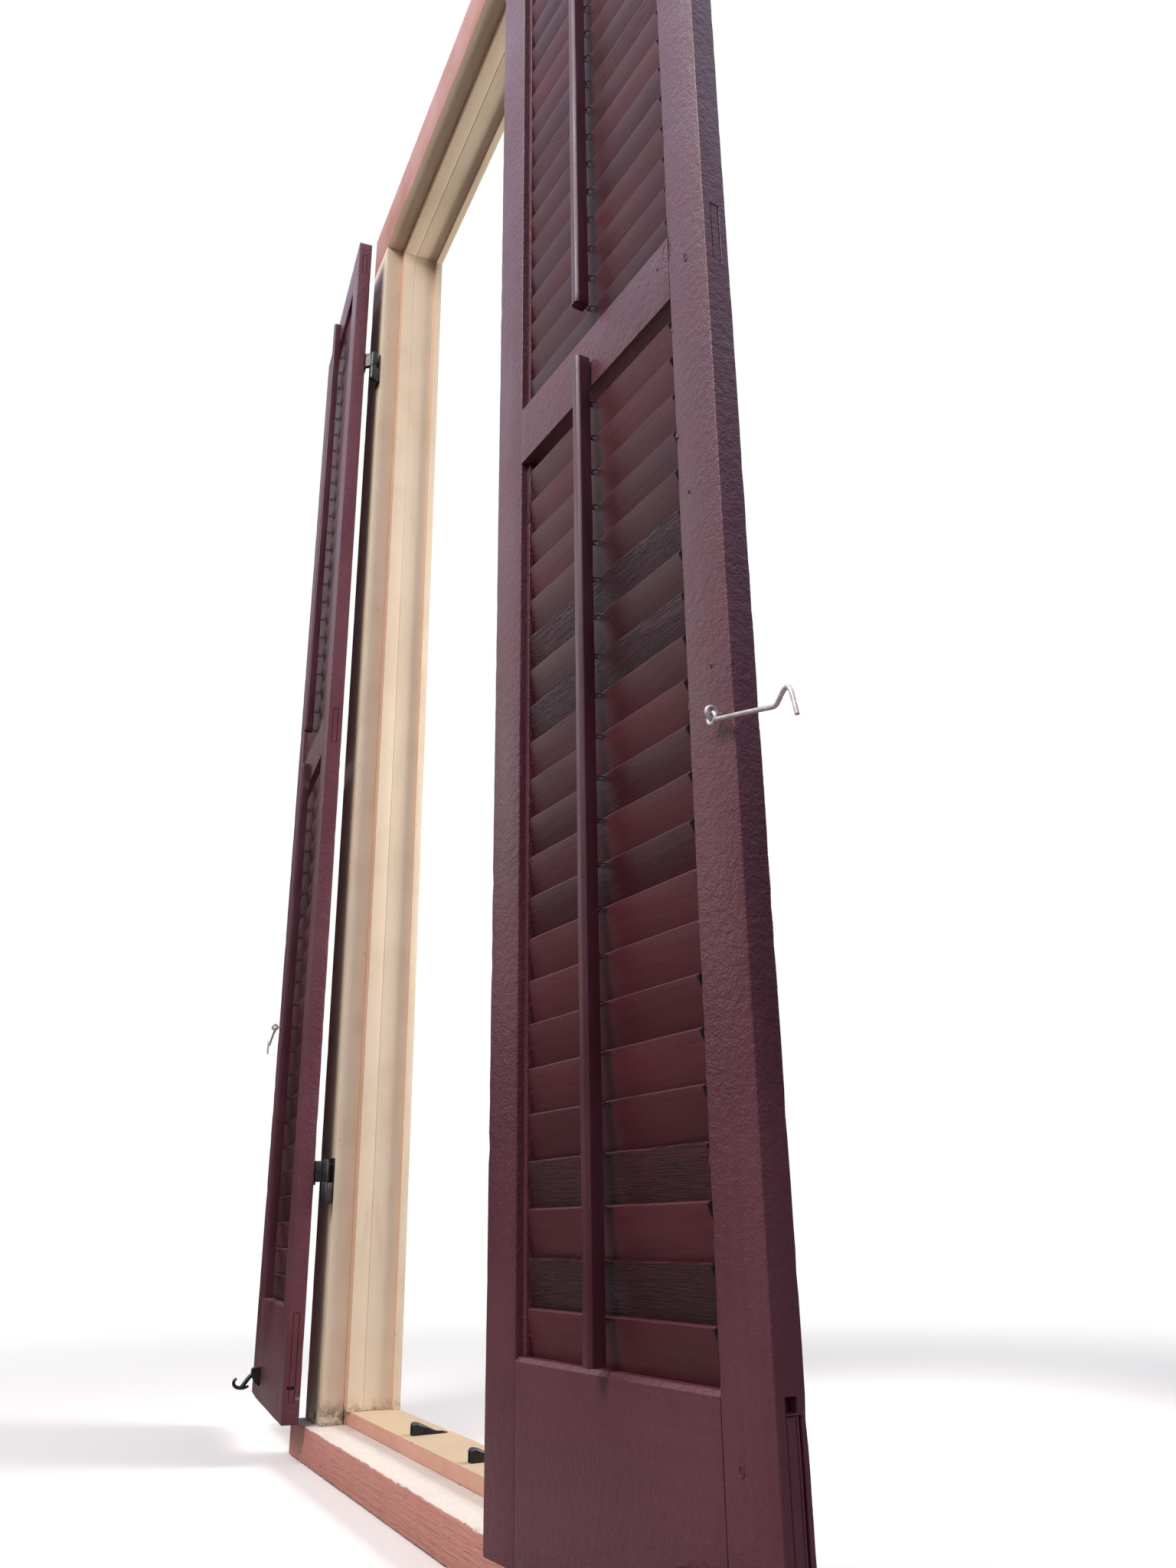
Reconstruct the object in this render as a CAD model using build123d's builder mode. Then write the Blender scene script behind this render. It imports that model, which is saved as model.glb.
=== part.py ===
import os
from math import cos, radians, sin

from build123d import *

# A pair of louvred shutters on the timber frame of their window, standing open.
# X runs along the wall, +Y into the wall and +Z up. The origin is the middle of
# the head casing's back, the face that lies on the wall. Sizes are millimetres.

# Shutter leaf
leaf_width = 406.0
leaf_height = 2171.0
leaf_thick = 25.4
stile_width = 57.0
bottom_rail_width = 158.0
mid_rail_foot = 1057.5
mid_rail_width = 72.0
top_rail_width = 82.0
tenon_thick = 10.0
tenon_shoulder = 4.0
arris_ease = 1.2
rail_bevel = 3.5

# Louvres, set on edge when closed, and the strips that carry their pins
slat_width = 44.0
slat_thick = 6.0
slat_ease = 1.4
closed_tilt = 10.0
slat_end_gap = 1.0
slat_pitch = 40.0
rod_louvre = 11
pin_sides = 6
lower_first_above_rail = 16.5
lower_last_below_rail = 35.0
upper_first_above_rail = 13.8
upper_last_below_rail = 29.6
strip_width = 7.0
strip_depth = 12.0
strip_front = 7.0
pin_radius = 3.0
pin_running_gap = 0.05
pin_end_gap = 0.8
rabbet_clearance = 2.5

# Tilt rods and the small wire staples that tie them to the louvres
rod_width = 13.0
rod_depth = 15.0
rod_back_gap = 1.5
rod_bevel = 2.5
rod_above_rail = 34.0
lower_rod_above_rail = 3.0
upper_rod_above_rail = 29.5
upper_rod_past_rail = 31.7
staple_wire = 1.1
staple_half_width = 4.0
staple_stand_off = 3.8
staple_below_edge = 2.0
staple_bite = 1.0
rod_loop_clear = 0.75
link_seat_gap = 0.3

# Window frame
side_gap = 3.0
meeting_gap = 3.0
head_gap = 4.0
foot_gap = 4.0
casing_width = 100.0
casing_thick = 34.0
casing_rabbet = 1.5
rabbet_play = 0.5
stop_step = 20.0
stop_depth = 22.0
jamb_depth = 63.0
bead_step = 12.0
frame_depth = 75.0
jamb_hidden = 15.0
sill_thick = 48.0
sill_nose = 20.0
sill_horn = 6.5
sill_ease = 2.0
sub_sill_thick = 19.0
sub_sill_front = 3.0

# Hinges: a pin on the casing half, a barrel on the leaf half
pivot_off_face = 15.5
pivot_off_edge = 3.3
hinge_height = 66.0
hinge_feet = (302.0, 1836.0)
hinge_plate_width = 24.0
hinge_plate_thick = 3.0
hinge_plate_inset = 2.5
hinge_arm_thick = 4.0
barrel_radius = 5.8
hinge_pin_radius = 3.0
hinge_running_gap = 0.05
turned_pin_sides = 10
casing_barrel = 30.0
barrel_lift = 0.3
leaf_barrel = 31.7
pin_above_barrel = 2.0

# Hold-open hook in its screw eye, on the free stile
hook_eye_inset = 15.0
hook_eye_height = 626.0
hook_eye_radius = 4.6
hook_wire = 1.9
hook_ring_clear = 0.5
hook_drop = 18.0
hook_reach = 73.0
hook_crest = 9.0
hook_crest_run = 14.0
hook_tip_drop = 24.0
hook_tip_run = 10.0
hook_bend = 4.0
hook_leave = 30.0
hook_eye_sides = 12
hook_ring_sides = 12
hook_wire_sides = 6

# Closing hook on the bottom rail
catch_from_edge = 100.0
catch_pivot_height = 45.0
catch_pivot_stand_off = 9.0
catch_thick = 6.0
catch_bar = 5.2
catch_pin_radius = 2.5
catch_eye_radius = 5.0
catch_running_gap = 0.05
catch_side_gap = 0.3
catch_cheek_thick = 2.2
catch_plate_thick = 2.5
catch_plate_height = 28.0

# Shape of the closing hook: how far out from its pin, and how far down
catch_heel = (14.0, 27.0)
catch_curl = (35.0, 23.0)
catch_curl_tip = (30.0, 12.0)
catch_toe_root = (14.5, 24.8)
catch_toe = (6.0, 24.0)
catch_bend = 6.5

# Keepers of the closing hooks
keeper_places = (-137.0, 83.0)
keeper_front = 17.0
keeper_width = 14.0
keeper_height = 15.0
keeper_length = 33.0
keeper_wall = 2.0
keeper_tongue = 15.0
keeper_solid_heel = 6.0

# How far each open leaf stands past flat, in degrees
right_swing = 5.8
left_swing = 4.5

# Places that follow from the sizes above
half_opening = leaf_width + side_gap + meeting_gap / 2
opening_height = foot_gap + leaf_height + head_gap
foot = -(leaf_height + head_gap + casing_width / 2)
sill_top = foot - foot_gap
sub_sill_top = sill_top + sub_sill_thick
head_foot = sill_top + opening_height
casing_face = -casing_thick
pivot_x = half_opening - side_gap + pivot_off_edge
pivot_y = casing_face - pivot_off_face
pivot_depth = strip_front + strip_depth / 2
slat_start = stile_width + strip_width + slat_end_gap
slat_length = leaf_width - 2 * slat_start
mid_rail_top = mid_rail_foot + mid_rail_width
top_rail_foot = leaf_height - top_rail_width
tilt = radians(closed_tilt)
staple_along = slat_width / 2 - staple_below_edge
staple_off = slat_thick / 2 + staple_stand_off
staple_depth = pivot_depth - staple_along * sin(tilt) - staple_off * cos(tilt)
staple_rise = staple_along * cos(tilt) - staple_off * sin(tilt)


rabbet_front = pivot_depth + slat_width / 2 * sin(tilt) - slat_thick / 2 * cos(tilt) - rabbet_clearance
rabbet_rise = slat_width / 2 * cos(tilt) + slat_thick / 2 * sin(tilt) + rabbet_clearance
rabbet_width = jamb_hidden + rabbet_play
jamb_front = -casing_rabbet
hook_u = leaf_width - hook_eye_inset
hook_v = -(hook_eye_radius + 2 * hook_wire + pin_end_gap)
hook_ring = 2 * hook_wire + hook_ring_clear
hook_ring_z = hook_eye_height - hook_eye_radius
catch_u = leaf_width - catch_from_edge
catch_v = -catch_pivot_stand_off


def pivots(first, last):
    """As many louvres as fit between the rails at about the pitch, evenly spread."""
    steps = round((last - first) / slat_pitch)
    return [first + (last - first) * step / steps for step in range(steps + 1)]


lower_pivots = pivots(bottom_rail_width + lower_first_above_rail, mid_rail_foot - lower_last_below_rail)
upper_pivots = pivots(mid_rail_top + upper_first_above_rail, top_rail_foot - upper_last_below_rail)


class Leaf:
    """One leaf's own axes: u along its width, v from its shown face back, z up."""

    def __init__(self, name, hand, swing):
        past = radians(swing)
        self.name = name
        self.hand = hand
        self.deeper = -hand
        self.along = Vector(hand * cos(past), sin(past), 0)
        self.into = Vector(-hand * sin(past), cos(past), 0)
        pivot = Vector(hand * pivot_x, pivot_y, foot)
        pivot_back = leaf_thick + pivot_off_face
        self.corner = pivot + self.along * pivot_off_edge - self.into * pivot_back

    def face(self, v=0.0):
        return Plane(self.corner + self.into * v, x_dir=self.along, z_dir=self.into * self.deeper)

    def end(self, u=0.0):
        return Plane(self.corner + self.along * u, x_dir=self.into, z_dir=self.along * self.hand)

    def plan(self, z=0.0):
        return Plane(self.corner + Vector(0, 0, z), x_dir=self.along, z_dir=Vector(0, 0, self.hand))

    def staple(self, z):
        lean = Vector(0, 0, cos(tilt)) - self.into * sin(tilt)
        middle = self.along * (leaf_width / 2) + self.into * staple_depth
        origin = self.corner + middle + Vector(0, 0, z + staple_rise)
        return Plane(origin, x_dir=self.along, z_dir=lean * self.hand)


right_leaf = Leaf("right", 1, right_swing)
left_leaf = Leaf("left", -1, left_swing)
leaves = (right_leaf, left_leaf)


def save(builder, name):
    builder.part.label = name
    export_step(builder.part, f"parts/{name}.step")


def slab(leaf, u_from, u_to, v_from, v_to, z_from, z_to, mode=Mode.ADD):
    with BuildSketch(leaf.face(v_from)) as outline:
        with Locations(((u_from + u_to) / 2, (z_from + z_to) / 2)):
            Rectangle(u_to - u_from, z_to - z_from)
    extrude(outline.sketch, amount=leaf.deeper * (v_to - v_from), mode=mode)


# Window frame

def side_casing(name, side):
    with BuildPart() as casing:
        with BuildSketch(Plane.XY.offset(sill_top)):
            with Locations((side * (half_opening + casing_width / 2), casing_face / 2)):
                Rectangle(casing_width, casing_thick)
            with Locations((side * (half_opening + rabbet_width / 2), jamb_front / 2)):
                Rectangle(rabbet_width, casing_rabbet, mode=Mode.SUBTRACT)
        extrude(amount=opening_height)
        fronts = casing.edges().filter_by(Axis.Z).group_by(Axis.Y)[0]
        chamfer(fronts, arris_ease)
    save(casing, name)


def head_casing():
    with BuildPart() as casing:
        with BuildSketch(Plane.YZ.offset(-half_opening - casing_width)):
            with Locations((casing_face / 2, head_foot + casing_width / 2)):
                Rectangle(casing_thick, casing_width)
            with Locations((jamb_front / 2, head_foot + rabbet_width / 2)):
                Rectangle(casing_rabbet, rabbet_width, mode=Mode.SUBTRACT)
        extrude(amount=2 * (half_opening + casing_width))
        fronts = casing.edges().filter_by(Axis.X).group_by(Axis.Y)[0]
        chamfer(fronts, arris_ease)
    save(casing, "head_casing")


def side_jamb(name, side):
    stop_x = half_opening - stop_step
    bead_x = stop_x - bead_step
    outer_x = half_opening + jamb_hidden
    bead_top = head_foot - stop_step - bead_step
    with BuildPart() as jamb:
        with BuildSketch(Plane.XY.offset(sub_sill_top)):
            with Locations((side * (stop_x + outer_x) / 2, (jamb_front + frame_depth) / 2)):
                Rectangle(outer_x - stop_x, frame_depth - jamb_front)
            with Locations((side * stop_x, stop_depth)):
                Rectangle(2 * arris_ease, arris_ease, mode=Mode.SUBTRACT)
        extrude(amount=head_foot + jamb_hidden - sub_sill_top)
        with BuildSketch(Plane.XY.offset(sub_sill_top)):
            with Locations((side * (bead_x + stop_x) / 2, (jamb_depth + frame_depth) / 2)):
                Rectangle(bead_step, frame_depth - jamb_depth)
        extrude(amount=bead_top - sub_sill_top)
    save(jamb, name)


def head_jamb():
    stop_x = half_opening - stop_step
    stop_z = head_foot - stop_step
    top_z = head_foot + jamb_hidden
    with BuildPart() as jamb:
        with BuildSketch(Plane.YZ.offset(-stop_x)):
            with Locations(((jamb_front + frame_depth) / 2, (stop_z + top_z) / 2)):
                Rectangle(frame_depth - jamb_front, top_z - stop_z)
            with Locations(((jamb_depth + frame_depth) / 2, stop_z - bead_step / 2)):
                Rectangle(frame_depth - jamb_depth, bead_step)
            with Locations((stop_depth, stop_z)):
                Rectangle(arris_ease, 2 * arris_ease, mode=Mode.SUBTRACT)
        extrude(amount=2 * stop_x)
    save(jamb, "head_jamb")


def sill():
    front = casing_face - sill_nose
    horn_x = half_opening + casing_width + sill_horn
    with BuildPart() as board:
        with BuildSketch(Plane.XY.offset(sill_top)):
            with Locations((0, front / 2)):
                Rectangle(2 * horn_x, -front)
            with Locations((0, frame_depth / 2)):
                Rectangle(2 * (half_opening + jamb_hidden), frame_depth)
        extrude(amount=-sill_thick)
        nose = board.edges().filter_by(Axis.X).group_by(Axis.Y)[0]
        fillet(nose.group_by(Axis.Z)[-1], sill_ease)
    save(board, "sill")


def sub_sill():
    # It fills the opening behind the casings and runs back under the jambs.
    with BuildPart() as board:
        with BuildSketch(Plane.XY.offset(sill_top)):
            with Locations((0, (sub_sill_front + frame_depth) / 2)):
                Rectangle(2 * (half_opening + jamb_hidden), frame_depth - sub_sill_front)
        extrude(amount=sub_sill_thick)
        nose = board.edges().filter_by(Axis.X).group_by(Axis.Y)[0]
        chamfer(nose.group_by(Axis.Z)[-1], arris_ease)
    save(board, "sub_sill")


def sill_keepers():
    # Small hoods with an open front and a screwed tongue behind.
    back = keeper_front + keeper_length
    low = sub_sill_top + keeper_wall
    high = sub_sill_top + keeper_height
    inner_high = high - keeper_wall
    shoulder = keeper_front + keeper_width / 2
    slope_foot = back - keeper_solid_heel
    with BuildPart() as keepers:
        for x in keeper_places:
            with BuildSketch(Plane.YZ.offset(x - keeper_width / 2)):
                with BuildLine():
                    Polyline(
                        (back, sub_sill_top), (keeper_front, sub_sill_top),
                        (keeper_front, high), (shoulder, high), (back, low), (back, sub_sill_top),
                    )
                make_face()
            extrude(amount=keeper_width)
            with BuildSketch(Plane.YZ.offset(x - keeper_width / 2 + keeper_wall)):
                with BuildLine():
                    Polyline(
                        (slope_foot, sub_sill_top), (keeper_front, sub_sill_top),
                        (keeper_front, inner_high), (shoulder, inner_high), (slope_foot, sub_sill_top),
                    )
                make_face()
            extrude(amount=keeper_width - 2 * keeper_wall, mode=Mode.SUBTRACT)
            with BuildSketch(Plane.XY.offset(sub_sill_top)):
                with Locations((x, back + keeper_tongue / 2 - keeper_width / 4)):
                    Rectangle(keeper_width, keeper_tongue - keeper_width / 2)
                with Locations((x, back + keeper_tongue - keeper_width / 2)):
                    RegularPolygon(keeper_width / 2, turned_pin_sides)
            extrude(amount=keeper_wall)
        tops = keepers.edges().filter_by(Axis.X).group_by(Axis.Z)[-1]
        chamfer(tops, keeper_wall / 2)
    save(keepers, "sill_keepers")


# Hinges

def hinge_half(pin_foot, outward, up, start, plate, barrel, bore=0.0):
    """One half about its pin: x runs outward along the plate, y from the pin to its seat."""
    plate_near = pivot_off_face - hinge_plate_thick
    elbow = start + barrel_radius
    plan = Plane(pin_foot, x_dir=outward, z_dir=(0, 0, up))
    with BuildSketch(plan.offset(up * plate[0])) as seat:
        with Locations((start + hinge_plate_width / 2, plate_near + hinge_plate_thick / 2)):
            Rectangle(hinge_plate_width, hinge_plate_thick)
    extrude(seat.sketch, amount=up * (plate[1] - plate[0]))
    with BuildSketch(plan.offset(up * barrel[0])) as arm:
        Circle(barrel_radius)
        with BuildLine():
            Polyline(
                (-hinge_arm_thick, 0), (barrel_radius, 0), (elbow, plate_near),
                (elbow, pivot_off_face), (start, pivot_off_face), (-hinge_arm_thick, 0),
            )
        make_face()
        if bore:
            Circle(bore, mode=Mode.SUBTRACT)
    extrude(arm.sketch, amount=up * (barrel[1] - barrel[0]))


def casing_hinges():
    start = side_gap - pivot_off_edge + hinge_plate_inset
    pin_height = barrel_lift + leaf_barrel + pin_above_barrel
    with BuildPart() as halves:
        for leaf in leaves:
            outward = Vector(leaf.hand, 0, 0)
            for hinge_foot in hinge_feet:
                pin_foot = Vector(leaf.hand * pivot_x, pivot_y, foot + hinge_foot)
                hinge_half(pin_foot, outward, leaf.hand, start, (0, hinge_height), (0, casing_barrel))
                with BuildSketch(Plane(pin_foot + Vector(0, 0, casing_barrel))):
                    RegularPolygon(hinge_pin_radius, turned_pin_sides)
                extrude(amount=pin_height)
    save(halves, "casing_hinges")


def leaf_hinges(leaf):
    start = pivot_off_edge + hinge_plate_inset
    barrel_foot = casing_barrel + barrel_lift
    barrel = (barrel_foot, barrel_foot + leaf_barrel)
    plate = (barrel_foot - hinge_arm_thick, barrel_foot + leaf_barrel)
    bore = hinge_pin_radius + hinge_running_gap
    with BuildPart() as halves:
        for hinge_foot in hinge_feet:
            pin_foot = Vector(leaf.hand * pivot_x, pivot_y, foot + hinge_foot)
            hinge_half(pin_foot, leaf.along, -leaf.hand, start, plate, barrel, bore)
    save(halves, f"{leaf.name}_hinges")


# Leaf frame

def rail_spans():
    """Foot and top of each rail, named."""
    return {
        "bottom_rail": (0.0, bottom_rail_width),
        "mid_rail": (mid_rail_foot, mid_rail_top),
        "top_rail": (top_rail_foot, leaf_height),
    }


def tenon_span(rail_foot, rail_top):
    low = rail_foot + (tenon_shoulder if rail_foot > 0 else stile_width / 2)
    high = rail_top - (tenon_shoulder if rail_top < leaf_height else stile_width / 2)
    return low, high


def stile(leaf, name, start):
    tenon_front = (leaf_thick - tenon_thick) / 2
    with BuildPart() as post:
        slab(leaf, start, start + stile_width, 0, leaf_thick, 0, leaf_height)
        uprights = post.edges().filter_by(Axis.Z)
        chamfer(uprights, arris_ease)
        for rail_foot, rail_top in rail_spans().values():
            low, high = tenon_span(rail_foot, rail_top)
            mortise = (start, start + stile_width, tenon_front, tenon_front + tenon_thick, low, high)
            slab(leaf, *mortise, mode=Mode.SUBTRACT)
    save(post, f"{leaf.name}_{name}")


def rail(leaf, name, rail_foot, rail_top, rabbet_depth=0.0, bevel=0.0):
    """A rail with a tenon through each stile; a rabbet behind clears the lowest louvre."""
    tenon_front = (leaf_thick - tenon_thick) / 2
    low, high = tenon_span(rail_foot, rail_top)
    inner_end = leaf_width - stile_width
    with BuildPart() as board:
        slab(leaf, stile_width, inner_end, 0, leaf_thick, rail_foot, rail_top)
        if bevel:
            front_face = board.faces().sort_by(Axis(leaf.corner, leaf.into))[0]
            chamfer(front_face.edges().sort_by(Axis.Z)[-1], bevel)
        if rabbet_depth:
            cut = (stile_width, inner_end, rabbet_front, leaf_thick, rail_top - rabbet_depth, rail_top)
            slab(leaf, *cut, mode=Mode.SUBTRACT)
        for u_from, u_to in ((0, stile_width), (inner_end, leaf_width)):
            slab(leaf, u_from, u_to, tenon_front, tenon_front + tenon_thick, low, high)
    save(board, f"{leaf.name}_{name}")


def leaf_frame(leaf):
    spans = rail_spans()
    stile(leaf, "hinge_stile", 0.0)
    stile(leaf, "free_stile", leaf_width - stile_width)
    rail(leaf, "top_rail", *spans["top_rail"])
    rail(leaf, "mid_rail", *spans["mid_rail"], rabbet_rise - upper_first_above_rail)
    rail(leaf, "bottom_rail", *spans["bottom_rail"], rabbet_rise - lower_first_above_rail, rail_bevel)


# Louvres

def louvre_section(places):
    """A louvre on its edge: the edge that stands up is eased, the other is square."""
    half = slat_thick / 2
    top = slat_width / 2
    corners = (
        (-half, -top), (half, -top), (half, top - slat_ease),
        (half - slat_ease, top), (slat_ease - half, top), (-half, top - slat_ease),
    )
    with Locations(*[(pivot_depth, z) for z in places]):
        Polygon(*corners, rotation=closed_tilt)


def pin_hole(is_round):
    """Round for the louvre that carries the rod; the others are kept light with six flats."""
    bore = pin_radius + pin_running_gap
    if is_round:
        Circle(bore, mode=Mode.SUBTRACT)
    else:
        RegularPolygon(bore, pin_sides, major_radius=False, mode=Mode.SUBTRACT)


def strip_faces(leaf, u_from, low, high, holes):
    with BuildSketch(leaf.end(u_from)) as strip:
        with Locations((pivot_depth, (low + high) / 2)):
            Rectangle(strip_depth, high - low)
        for number, z in enumerate(holes, start=1):
            with Locations((pivot_depth, z)):
                pin_hole(number == rod_louvre)
    extrude(strip.sketch, amount=leaf.hand * strip_width)


def pivot_strips(leaf, name, low, high, holes):
    with BuildPart() as strips:
        for u_from in (stile_width, leaf_width - stile_width - strip_width):
            strip_faces(leaf, u_from, low, high, holes)
    save(strips, f"{leaf.name}_{name}")


def fixed_louvres(leaf, name, low, high, places):
    """A bank painted shut: its louvres are one piece with the strips that hold them."""
    start = stile_width + strip_width
    with BuildPart() as bank:
        for u_from in (stile_width, leaf_width - start):
            strip_faces(leaf, u_from, low, high, [])
        with BuildSketch(leaf.end(start)):
            louvre_section(places)
        extrude(amount=leaf.hand * (leaf_width - 2 * start))
    save(bank, f"{leaf.name}_{name}")


def moving_louvre(leaf, name, z):
    pin_length = strip_width + slat_end_gap - pin_end_gap
    leg = staple_stand_off + staple_bite
    with BuildPart() as slat:
        with BuildSketch(leaf.end(slat_start)):
            louvre_section([z])
        extrude(amount=leaf.hand * slat_length)
        with BuildSketch(leaf.end(slat_start - pin_length)):
            with Locations((pivot_depth, z)):
                RegularPolygon(pin_radius, pin_sides)
        extrude(amount=leaf.hand * (slat_length + 2 * pin_length))
        with BuildSketch(leaf.staple(z)):
            with Locations((0, (leg - staple_wire / 2) / 2)):
                Rectangle(2 * staple_half_width + staple_wire, leg + staple_wire / 2)
            with Locations((0, (leg + staple_wire / 2) / 2)):
                Rectangle(2 * staple_half_width - staple_wire, leg - staple_wire / 2, mode=Mode.SUBTRACT)
        extrude(amount=staple_wire / 2, both=True)
    save(slat, f"{leaf.name}_{name}")


# Tilt rods

def rod_outline():
    """Section of a rod in plan: square at the back, bevelled in front."""
    middle = leaf_width / 2
    back = -rod_back_gap
    with BuildLine() as outline:
        Polyline(
            (middle - rod_width / 2, back), (middle + rod_width / 2, back),
            (middle + rod_width / 2, back - rod_depth + rod_bevel),
            (middle + rod_width / 2 - rod_bevel, back - rod_depth),
            (middle - rod_width / 2 + rod_bevel, back - rod_depth),
            (middle - rod_width / 2, back - rod_depth + rod_bevel),
            (middle - rod_width / 2, back),
        )
    make_face(outline.edges())


def rod_loops(places):
    """Wire loops round the staples of the louvres; the one that the rod hangs by is round."""
    inner = staple_wire / 2 + rod_loop_clear
    outer = inner + staple_wire
    start = -rod_back_gap - staple_bite
    mouth = -rod_back_gap
    for number, z in enumerate(places, start=1):
        height = z + staple_rise
        end = staple_depth if number == rod_louvre else staple_depth + outer
        inner_end = staple_depth if number == rod_louvre else staple_depth + inner
        with Locations(((start + end) / 2, height)):
            Rectangle(end - start, 2 * outer)
        if number == rod_louvre:
            with Locations((staple_depth, height)):
                Circle(outer)
                Circle(inner, mode=Mode.SUBTRACT)
        with Locations(((mouth + inner_end) / 2, height)):
            Rectangle(inner_end - mouth, 2 * inner, mode=Mode.SUBTRACT)


def rod_links(places):
    """On a bank that is painted shut, one short wire reaches each louvre."""
    start = -rod_back_gap - staple_bite
    end = pivot_depth - staple_along * sin(tilt) - slat_thick / 2 / cos(tilt) - link_seat_gap
    with Locations(*[((start + end) / 2, z + staple_rise) for z in places]):
        Rectangle(end - start, staple_wire)


def tilt_rod(leaf, name, low, high, places, moving):
    with BuildPart() as rod:
        with BuildSketch(leaf.plan(low)):
            rod_outline()
        extrude(amount=leaf.hand * (high - low))
        with BuildSketch(leaf.end((leaf_width - staple_wire) / 2)):
            if moving:
                rod_loops(places)
            else:
                rod_links(places)
        extrude(amount=leaf.hand * staple_wire)
    save(rod, f"{leaf.name}_{name}")


# Hold-open hooks

def hook_eye(leaf):
    """A screw eye whose ring stands upright, across the leaf."""
    with BuildPart() as eye:
        with BuildSketch(leaf.end(hook_u - hook_wire)):
            with Locations((hook_v, hook_eye_height)):
                RegularPolygon(hook_eye_radius + hook_wire, hook_eye_sides)
                RegularPolygon(hook_eye_radius - hook_wire, hook_eye_sides, mode=Mode.SUBTRACT)
        extrude(amount=leaf.hand * 2 * hook_wire)
        chamfer(eye.faces().filter_by(Axis(leaf.corner, leaf.along)).edges(), hook_wire / 2)
        with BuildSketch(leaf.face(0)):
            with Locations((hook_u, hook_eye_height)):
                RegularPolygon(hook_wire, hook_wire_sides)
        extrude(amount=leaf.deeper * (hook_v + hook_eye_radius))
    save(eye, f"{leaf.name}_hook_eye")


def hold_open_hook(leaf):
    """A wire hook: a ring through the screw eye, a shank and a bent tip."""
    leave = radians(hook_leave)
    neck = (hook_u + hook_ring * cos(leave), hook_ring_z - hook_ring * sin(leave))
    bend = (hook_u + hook_reach, hook_ring_z - hook_drop)
    crest = (bend[0] + hook_crest_run, bend[1] + hook_crest)
    tip = (crest[0] + hook_tip_run, crest[1] - hook_tip_drop)
    with BuildPart() as hook:
        with BuildSketch(leaf.face(hook_v - hook_wire)):
            with BuildLine():
                FilletPolyline(neck, bend, crest, tip, radius=hook_bend)
            trace(line_width=2 * hook_wire)
            with Locations((hook_u, hook_ring_z)):
                RegularPolygon(hook_ring + hook_wire, hook_ring_sides)
                RegularPolygon(hook_ring - hook_wire, hook_ring_sides, False, mode=Mode.SUBTRACT)
        extrude(amount=leaf.deeper * 2 * hook_wire)
        chamfer(hook.faces().filter_by(Axis(leaf.corner, leaf.into)).edges(), hook_wire / 2)
    save(hook, f"{leaf.name}_hold_open_hook")


# Closing hooks

def catch_point(place):
    """A point of the closing hook from its run out and its drop down from the pin."""
    return catch_v - place[0], catch_pivot_height - place[1]


def catch_bracket(leaf):
    """Two cheeks on a plate, with the pin of the hook between them."""
    cheek_gap = catch_thick / 2 + catch_side_gap
    nose = catch_v - catch_eye_radius
    low = catch_pivot_height + catch_eye_radius - catch_plate_height
    high = catch_pivot_height + catch_eye_radius
    with BuildPart() as bracket:
        for cheek_u in (catch_u - cheek_gap - catch_cheek_thick, catch_u + cheek_gap):
            with BuildSketch(leaf.end(cheek_u)):
                with BuildLine():
                    Polyline(
                        (0, low), (nose, catch_pivot_height - catch_eye_radius / 2),
                        (nose, catch_pivot_height + catch_eye_radius / 2),
                        (catch_v - catch_eye_radius / 2, high), (0, high), (0, low),
                    )
                make_face()
            extrude(amount=leaf.hand * catch_cheek_thick)
        slab(
            leaf, catch_u - cheek_gap - catch_cheek_thick, catch_u + cheek_gap + catch_cheek_thick,
            -catch_plate_thick, 0, low, high,
        )
        with BuildSketch(leaf.end(catch_u - cheek_gap)):
            with Locations((catch_v, catch_pivot_height)):
                RegularPolygon(catch_pin_radius, turned_pin_sides)
        extrude(amount=leaf.hand * 2 * cheek_gap)
    save(bracket, f"{leaf.name}_catch_bracket")


def closing_hook(leaf):
    """A flat iron hook shaped like an S, with its curl outwards."""
    eye = (catch_v, catch_pivot_height)
    curl_tip = catch_point(catch_curl_tip)
    toe = catch_point(catch_toe)
    with BuildPart() as hook:
        with BuildSketch(leaf.end(catch_u - catch_thick / 2)):
            with BuildLine():
                FilletPolyline(
                    eye, catch_point(catch_heel), catch_point(catch_curl), curl_tip, radius=catch_bend,
                )
            trace(line_width=catch_bar)
            with BuildLine():
                Line(catch_point(catch_toe_root), toe)
            trace(line_width=catch_bar)
            with Locations(curl_tip, toe):
                RegularPolygon(catch_bar / 2, turned_pin_sides)
            with Locations(eye):
                RegularPolygon(catch_eye_radius, turned_pin_sides)
                Circle(catch_pin_radius + catch_running_gap, mode=Mode.SUBTRACT)
        extrude(amount=leaf.hand * catch_thick)
    save(hook, f"{leaf.name}_closing_hook")


def build_frame():
    side_casing("right_casing", 1)
    side_casing("left_casing", -1)
    head_casing()
    side_jamb("right_jamb", 1)
    side_jamb("left_jamb", -1)
    head_jamb()
    sill()
    sub_sill()
    sill_keepers()
    casing_hinges()


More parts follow.
